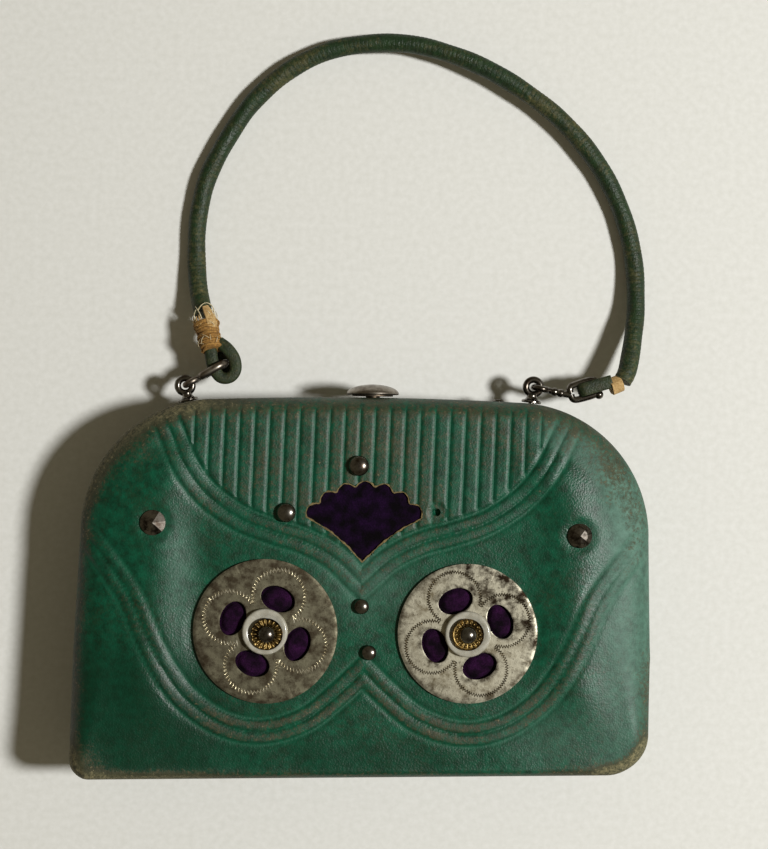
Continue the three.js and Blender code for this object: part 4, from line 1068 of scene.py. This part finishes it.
def frameRing(name, body, places):
    # an L-shaped strip carried round the outline, notched where the hinge barrels lie
    ends = [side * hinge["x"] + k * hinge["notch"] + slip
            for side in (-1, 1) for k in (-1, 1) for slip in (-hinge["slip"], hinge["slip"])]
    x = np.unique(np.r_[np.linspace(-lowCorner["left"]["x"], lowCorner["right"]["x"], 60)[1:-1], ends])
    bottom = np.column_stack([x, -half + foot["lift"] + footSlope * x, 0 * x, 0 * x - 1, 0 * x])
    loop = np.vstack([outline, bottom])
    e, out, deep = frameBar["edge"], frameBar["inset"], frameBar["inset"] + frameBar["width"]
    inner = deep - frameBar["lip"]
    rim, seam, lip = frameBar["rim"], frameBar["seam"], frameBar["rim"] - frameBar["lipDepth"]
    inset = np.array([[out + e, out, out, out + e, deep - e, deep, deep, inner, inner]])
    level = np.array([[rim, rim + e, seam - e, seam, seam, seam - e, lip, lip, rim]]) + 0 * loop[:, :1]
    notch = (np.abs(np.abs(loop[:, 0]) - hinge["x"]) < hinge["notch"]) & (loop[:, 1] < hinge["footY"])
    level = np.where(notch[:, None], np.minimum(level, seam - hinge["clear"]), level)
    grid = np.stack([loop[:, :1] - loop[:, 2:3] * inset, loop[:, 1:2] - loop[:, 3:4] * inset, level], -1)
    shells = [shellOf(grid, True)]
    long, r, bore, c = hinge["knuckle"], hinge["barrel"], hinge["bore"], hinge["chamfer"]
    rows = [(bore, 0), (r - c, 0), (r, c), (r, long - c), (r - c, long), (bore, long)]
    barrel = spin(turned(rows, 28), 90, "y")
    short = hinge["leafShort"]
    leafPath = [[at, hinge["leafY"], hinge["leafZ"]] for at in (short, long - short)]
    w, low, high = hinge["leafHalf"], hinge["leafLow"], hinge["leafHigh"]
    leaf = sweep(leafPath, np.array([[-w, w, w, -w]]), np.array([[low, low, high, high]]))
    for side in (-1, 1):
        for place in places:
            at = side * hinge["x"] + place * (long + hinge["gap"]) - long / 2
            for points, quads in (shellOf(barrel, True), shellOf(leaf)):
                points = spin(points + np.array([at, 0, 0]), foot["tilt"], "z")
                shells.append((points + np.array([0, hinge["y"], case["depth"] / 2]), quads))
    if body == "front_half":  # turned over, and with the button's seat
        shells = [(flipped(points), quads) for points, quads in shells]
        seat = [(0, -1.4), (1.75, -1.4), (1.75, 0.4), (5.1, 0.4), (5.1, 0.7), (4.3, 0.75), (4.3, 1.3),
                (4.1, 1.4), (0, 1.4)]
        shells.append(moved(standingTurned(seat, 40), button["x"], half, button["z"]))
    putPiece(name + "_strip", shells, frameSteel, body, 40, [name])


def claspButton():
    # a dome on a thin turned-in rim, hollow over its seat
    radius, base, skirt = button["radius"], button["base"], button["base"] + 0.25
    under = [[0, -3.5], [0.9, -3.5], [0.9, 2.3], [4.6, 2.3], [5.9, base], [radius - 0.2, base]]
    dome = standingTurned(np.vstack([under, arcRows(radius, button["rise"] - skirt, skirt, 22)]), 64)
    putPiece("clasp_button_dome", [moved(dome, button["x"], half, button["z"])], dulledSteel, "clasp",
             42, ["clasp_button"])


frameRing("back_frame", "back_half", [-1, 1])
frameRing("front_frame", "front_half", [0])
claspButton()

fitting = dict(z=11.75, at=4.4, ring=1.875, wire=0.84, hookWire=0.8, hookRing=1.7, ball=1.15, collar=1.06,
               leftAt=-44.9, rightAt=41.6, rivetAt=33.4)
eyeStem = [(0, -3.4), (0.7, -3.4), (0.7, 0.3), (2.35, 0.3), (2.5, 0.45), (2.5, 0.8), (2.3, 1.0), (1.7, 1.15),
           (1.35, 1.6), (1.2, 2.1), (1.3, 2.5), (0.9, 2.8), (0, 2.9)]
rivetHead = [(0, -3.0), (0.7, -3.0), (0.7, 0.15), (1.4, 0.15), (1.45, 0.3), (1.25, 0.62), (0.7, 0.75),
             (0, 0.78)]
hooks = dict(
    left=dict(reach=2.3, bow=7.4, wide=2.2, turn=90, bend=0, collars=[], lean=30, thick=0.98,
              finish=dulledSteel),
    right=dict(reach=7, bow=8.6, wide=1.9, turn=0, bend=29, collars=[3.6, 5.2], lean=-12, thick=0.86,
               finish=darkSteel))


def topPoint(x):  # place on the top edge and its lean, in degrees
    over = abs(x) - shoulderX
    if over <= 0:
        return x, half - case["crown"] * (x / shoulderX) ** 2, 0.0
    a = math.asin(over / arm)
    return x, half - case["crown"] - arm * (1 - math.cos(a)), -math.copysign(math.degrees(a), x)


def standing(shell, place):  # a piece drawn along +Y, set on the top edge
    return spin(shell[0], place[2], "z") + np.array([place[0], place[1], fitting["z"]]), shell[1]


def circle(radius):
    turn = fullTurn(40)
    return np.stack([radius * np.cos(turn), radius * np.sin(turn), 0 * turn], 1)


def hookShells(hook, place):
    # a ring through the eye, a shank, and an oval bow with a ball at its tip
    r, reach, bow, wide = fitting["hookWire"], hook["reach"], hook["bow"], hook["wide"]
    ring = wire(spin(circle(fitting["hookRing"]), 90, "x"), r, 12, (0, 1, 0), True)
    shaft = wire(np.array([[1.5, 0, 0], [reach / 2 + 0.8, 0, 0], [reach + r, 0, 0]]), r, 14)
    side = [(r, 0.3), (1.0, wide * 0.75), (2.4, wide), (bow - 2, wide), (bow - 0.6, wide * 0.6)]
    oval = [(x, y, 0) for x, y in side] + [(bow, 0, 0)] + [(x, -y, 0) for x, y in side[::-1]]
    loop = wire(evenly(spline(oval, 8), 64)[0], hook["thick"], 14)
    ball = moved(ballShell(fitting["ball"], 20), bow - 1, -wide - 0.3)
    bowPieces = [(spin(spin(p, hook["turn"], "x"), hook["bend"], "z") + np.array([reach, 0, 0]), q)
                 for p, q in (loop, ball)]
    beads = [moved(ballShell(fitting["collar"], 18), at) for at in hook["collars"]]
    a, b = math.radians(place[2]), math.radians(hook["lean"])
    centre = np.array([place[0] - fitting["at"] * math.sin(a) + fitting["ring"] * math.cos(b),
                       place[1] + fitting["at"] * math.cos(a) + fitting["ring"] * math.sin(b), fitting["z"]])
    return [(spin(p, hook["lean"], "z") + centre, q) for p, q in (ring, shaft, *bowPieces, *beads)]


eyes = dict(left=topPoint(fitting["leftAt"]), right=topPoint(fitting["rightAt"]))
for side, place in eyes.items():
    ring = moved(wire(circle(fitting["ring"]), fitting["wire"], 14, closed=True), 0, fitting["at"])
    shells = [standing(shell, place) for shell in (standingTurned(eyeStem, 32), ring)]
    putPiece("eye_" + side + "_turned", shells, darkSteel, "back_half", 40, ["eye_" + side])
rivet = standing(standingTurned(rivetHead, 24), topPoint(fitting["rivetAt"]))
putPiece("frame_rivet_head", [rivet], darkSteel, "back_half", 40, ["frame_rivet"])
for side, hook in hooks.items():
    putPiece("hook_" + side + "_wire", hookShells(hook, eyes[side]), hook["finish"], "back_half",
             40, ["hook_" + side])
for name in ("hinge_pin_left", "hinge_pin_right", "catch"):
    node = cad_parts[name]
    node.data.materials.clear()
    node.data.materials.append(frameSteel)
print("steel fitted")

# The ends that hold the handle to the hooks.
binding = dict(top=(-41.7, 67.9, 7.8), foot=(-39.2, 58.9, 11.9), wrapFrom=0.26, wrapTo=0.97, radiusTop=3.25,
               radiusFoot=2.75, thread=0.36, rows=0.6)
bindTop, bindFoot = np.array(binding["top"]), np.array(binding["foot"])
bindLength = np.linalg.norm(bindFoot - bindTop)
bindAxis = (bindFoot - bindTop) / bindLength
bindSide = unit(np.cross(bindAxis, [0, 0, 1.0]))
bindUp = np.cross(bindSide, bindAxis)


def outFrom(angle):  # the direction away from the binding's axis at an angle
    return bindSide * math.cos(angle) + bindUp * math.sin(angle)


def aroundBinding(share, radius, angle):  # a place by share of the binding's length, distance and angle
    share, radius, angle = np.broadcast_arrays(share, radius, angle)
    return (bindTop + (share * bindLength)[:, None] * bindAxis + (radius * np.cos(angle))[:, None] * bindSide
            + (radius * np.sin(angle))[:, None] * bindUp)


def bindingLeft():
    # a waxed thread wound as an uneven helix round the folded strip; the strip's strands stand out above it
    wrapFrom, wrapTo = binding["wrapFrom"], binding["wrapTo"]
    turns = int(bindLength * (1 - wrapFrom) / binding["rows"])
    t = np.linspace(0, 1, turns * 26)
    a = t * turns * 2 * np.pi
    share = wrapFrom + (wrapTo - wrapFrom) * (t + ripples(a, ((0.012, 0.9, 0), (0.01, 1.43, 0))))
    radius = binding["radiusTop"] + (binding["radiusFoot"] - binding["radiusTop"]) * t - 0.4
    radius = radius * (1 + ripples(a, ((0.06, 0.37, 0), (0.05, 1.9, 1))))
    thread = binding["thread"] * (1 + 0.25 * np.sin(a * 0.53))
    rows = np.linspace(wrapFrom * 0.8, 1, 24)
    path = bindTop + (rows * bindLength)[:, None] * bindAxis
    turn = fullTurn(24)
    r = (2.62 - 0.35 * rows)[:, None] + 0.1 * np.sin(3 * turn)[None]
    shells = [wire(aroundBinding(share, radius, a), thread, 8, bindAxis), shellOf(roundSweep(path, r, turn))]
    return putPiece("binding_left_thread", shells, tanThread, "back_half", 50, ["binding_left"])


def flatSection(wide, thick, rounding):  # a flat strip's section with round edges, across and up
    right = arcRows(rounding, thick / 2, 0, 6, -90, wide / 2 - rounding)
    section = np.vstack([right, -right])
    return section[None, :, 0], section[None, :, 1]


def bindingStrands():
    # one flat tan strap of the folded strip, from under the wrapping up over the handle's end;
    # thin strands beside it
    strapAt, count = 2.0, 22
    t = np.linspace(0.5, -0.1, count)
    across, up = flatSection(2.5, 0.5, 0.2)
    narrow = (1 - 0.35 * np.linspace(0, 1, count) ** 4)[:, None]
    path = aroundBinding(t, 2.75 + 0.25 * np.sin(np.linspace(0, 3, count)), strapAt + 0.16 * np.sin(t * 4))
    shells = [shellOf(sweep(path, across * narrow, up + 0 * narrow, outFrom(strapAt)))]
    for a in (0.3, 0.75, 1.2, 2.8):
        tall = 0.1 - 0.16 * dice.random()
        t = np.linspace(binding["wrapFrom"] + 0.14, tall, 12)
        radius = 2.72 + 0.16 * np.sin(np.linspace(0, 3.0, 12)) + 0.1 * dice.random()
        path = aroundBinding(t, radius, a + 0.3 * (dice.random() - 0.5) * (1 - t))
        shells.append(wire(path, 0.34 * (1 - 0.5 * np.linspace(0, 1, 12) ** 3), 8, outFrom(a)))
    return putPiece("binding_left_strands", shells, rawHide, "back_half", 60)


def frayedThreads():
    # loose pale threads: short ends off the top, fibres pulled out of the wrapping, two across the handle
    shells = []
    ends, fibres = 10, 9
    t = np.linspace(0, 1, 12)
    for k in range(ends):
        a = 2 * np.pi * (k + 0.5 * dice.random()) / ends
        long, lean = 0.16 + 0.22 * dice.random(), 0.9 * (dice.random() - 0.4)
        path = aroundBinding(0.22 - t * long, 2.85 + 0.5 * np.sin(2.4 * t), a + lean * t**2)
        shells.append(wire(path, 0.17 * (1 - 0.6 * t), 6, outFrom(a)))
    t = np.linspace(0, 1, 10)
    for _ in range(fibres):
        a = np.pi * dice.random()
        share = 0.3 + 0.5 * dice.random() + 0.16 * t
        path = aroundBinding(share, 3.05 + 0.3 * np.sin(np.pi * t), a + (dice.random() - 0.5) * 1.6 * t)
        shells.append(wire(path, 0.065, 6, outFrom(a)))
    t = np.linspace(0, 1, 26)
    for shift, span in ((-0.1, 1.7), (0.08, 1.1)):
        share = 0.06 + shift - 0.14 * np.sin(np.pi * t)
        path = aroundBinding(share, 2.95 + 0.12 * np.sin(5 * t), 2.9 - span * t)
        shells.append(wire(path, 0.12 + 0.03 * np.sin(9 * t), 6, bindAxis))
    return putPiece("binding_left_frays", shells, paleThread, "back_half", 60)


def leatherEnd(name, grid, wear, stands=()):  # a strip of dark leather, evenly worn
    points, quads = shellOf(grid)
    marks = dict(wear=np.full(len(points), wear), deep=np.full(len(points), 0.1))
    return putPiece(name, [(points, quads)], endLeather, "back_half", 50, stands, marks)


def stripGrid(route, wide, thick):  # a flat strip along a route, a little uneven
    path, _ = evenly(spline(route, 8), len(route) * 8)
    across, up = flatSection(wide, thick, thick * 0.45)
    uneven = 1 + 0.05 * np.sin(np.linspace(0, 9, len(path)))[:, None]
    return sweep(path, across * uneven, up * uneven)


bindingPiece, strands, frays = bindingLeft(), bindingStrands(), frayedThreads()
loopRoute = [(-37.6, 61.0, 11.3), (-35.4, 59.3, 11.7), (-33.6, 56.8, 11.75), (-33.2, 54.0, 11.75),
             (-34.5, 52.1, 11.75), (-36.7, 51.9, 11.75), (-38.3, 53.6, 11.75), (-39.2, 56.2, 11.75),
             (-39.6, 59.2, 11.6)]
backRoute = [(-39.4, 60.2, 9.6), (-38.4, 57.8, 7.9), (-37.1, 55.2, 7.6), (-36.1, 53.2, 8.0),
             (-35.5, 52.2, 8.8)]
loopPiece = leatherEnd("end_loop_left_strip", stripGrid(loopRoute, 3.1, 1.9), 0.48, ["end_loop_left"])
backPiece = leatherEnd("end_loop_left_back", stripGrid(backRoute, 4.6, 0.9), 0.48)  # the fold's other side
fold = dict(x=61.9, y=52.2, turn=17, length=9.0, high=1.95, thick=0.85, wide=3.3, rounding=0.3)
core = dict(top=(64.3, 51.9, 11.3), cut=(61.6, 50.75, 11.8), radius=2.15)


def tongueRight():
    # a strip folded round the hook: straight, half circle, straight, in an upright plane
    mid = fold["high"] - fold["thick"] / 2
    a = np.radians(np.linspace(90, 270, 17))
    bendX = -fold["length"] + fold["high"]
    x = np.r_[np.linspace(0, bendX, 8)[:-1], bendX + mid * np.cos(a), np.linspace(bendX, 0, 8)[1:]]
    z = np.r_[np.full(7, mid), mid * np.sin(a), np.full(7, -mid)]
    across, up = flatSection(fold["thick"], fold["wide"], fold["rounding"])
    grid = sweep(np.stack([x, 0 * x, z], 1), across + 0 * x[:, None], up + 0 * x[:, None], (0, 1, 0))
    grid = spin(grid, fold["turn"], "z") + np.array([fold["x"], fold["y"], fitting["z"]])
    return leatherEnd("end_tongue_right_strip", grid, 0.3, ["end_tongue_right"])


def coreRight():
    # the raw core where the winding stops: a ragged stub, wider at the cut
    t = np.linspace(0, 1, 12)[:, None]
    turn = fullTurn(26)
    path = np.array(core["top"]) + t * (np.array(core["cut"]) - np.array(core["top"]))
    r = core["radius"] + 0.16 * np.sin(5 * turn)[None] * t + 0.07 * np.sin(11 * turn + 1)[None]
    return putPiece("core_end_right_stub", [shellOf(roundSweep(path, r, turn))], rawHide, "back_half",
                    60, ["core_end_right"])


tonguePiece = tongueRight()
corePiece = coreRight()
print("handle ends bound")

# Floor and studio light: a soft lamp on the right, a pale room.
lamp = dict(azimuth=1.5, height=54.4, away=1.5, size=0.2, power=23.4, colour=(0.985, 0.99, 0.97))
room = dict(colour="#FDEEC6", strength=0.135)
sheet = bpy.data.meshes.new("floor")
sheet.from_pydata([(-3, -3, 0), (3, -3, 0), (3, 3, 0), (-3, 3, 0)], [], [(0, 1, 2, 3)])
sheet.materials.append(paperBoard())
floor = bpy.data.objects.new("floor", sheet)
scene.collection.objects.link(floor)

light = bpy.data.lights.new("key", "AREA")
light.shape = "DISK"
light.size = lamp["size"]
light.energy = lamp["power"]
light.color = lamp["colour"]
key = bpy.data.objects.new("key", light)
lampTurn, lampRise = math.radians(lamp["azimuth"]), math.radians(lamp["height"])
level = math.cos(lampRise)
toLamp = np.array([level * math.cos(lampTurn), level * math.sin(lampTurn), math.sin(lampRise)])
key.location = toLamp * lamp["away"]
key.rotation_euler = (0, math.radians(90) - lampRise, lampTurn)
scene.collection.objects.link(key)
world = bpy.data.worlds.new("room")
world.use_nodes = True
backdrop = world.node_tree.nodes["Background"]
feed(world.node_tree, backdrop, {"Color": room["colour"], "Strength": room["strength"]})
scene.world = world
print("floor and light set")
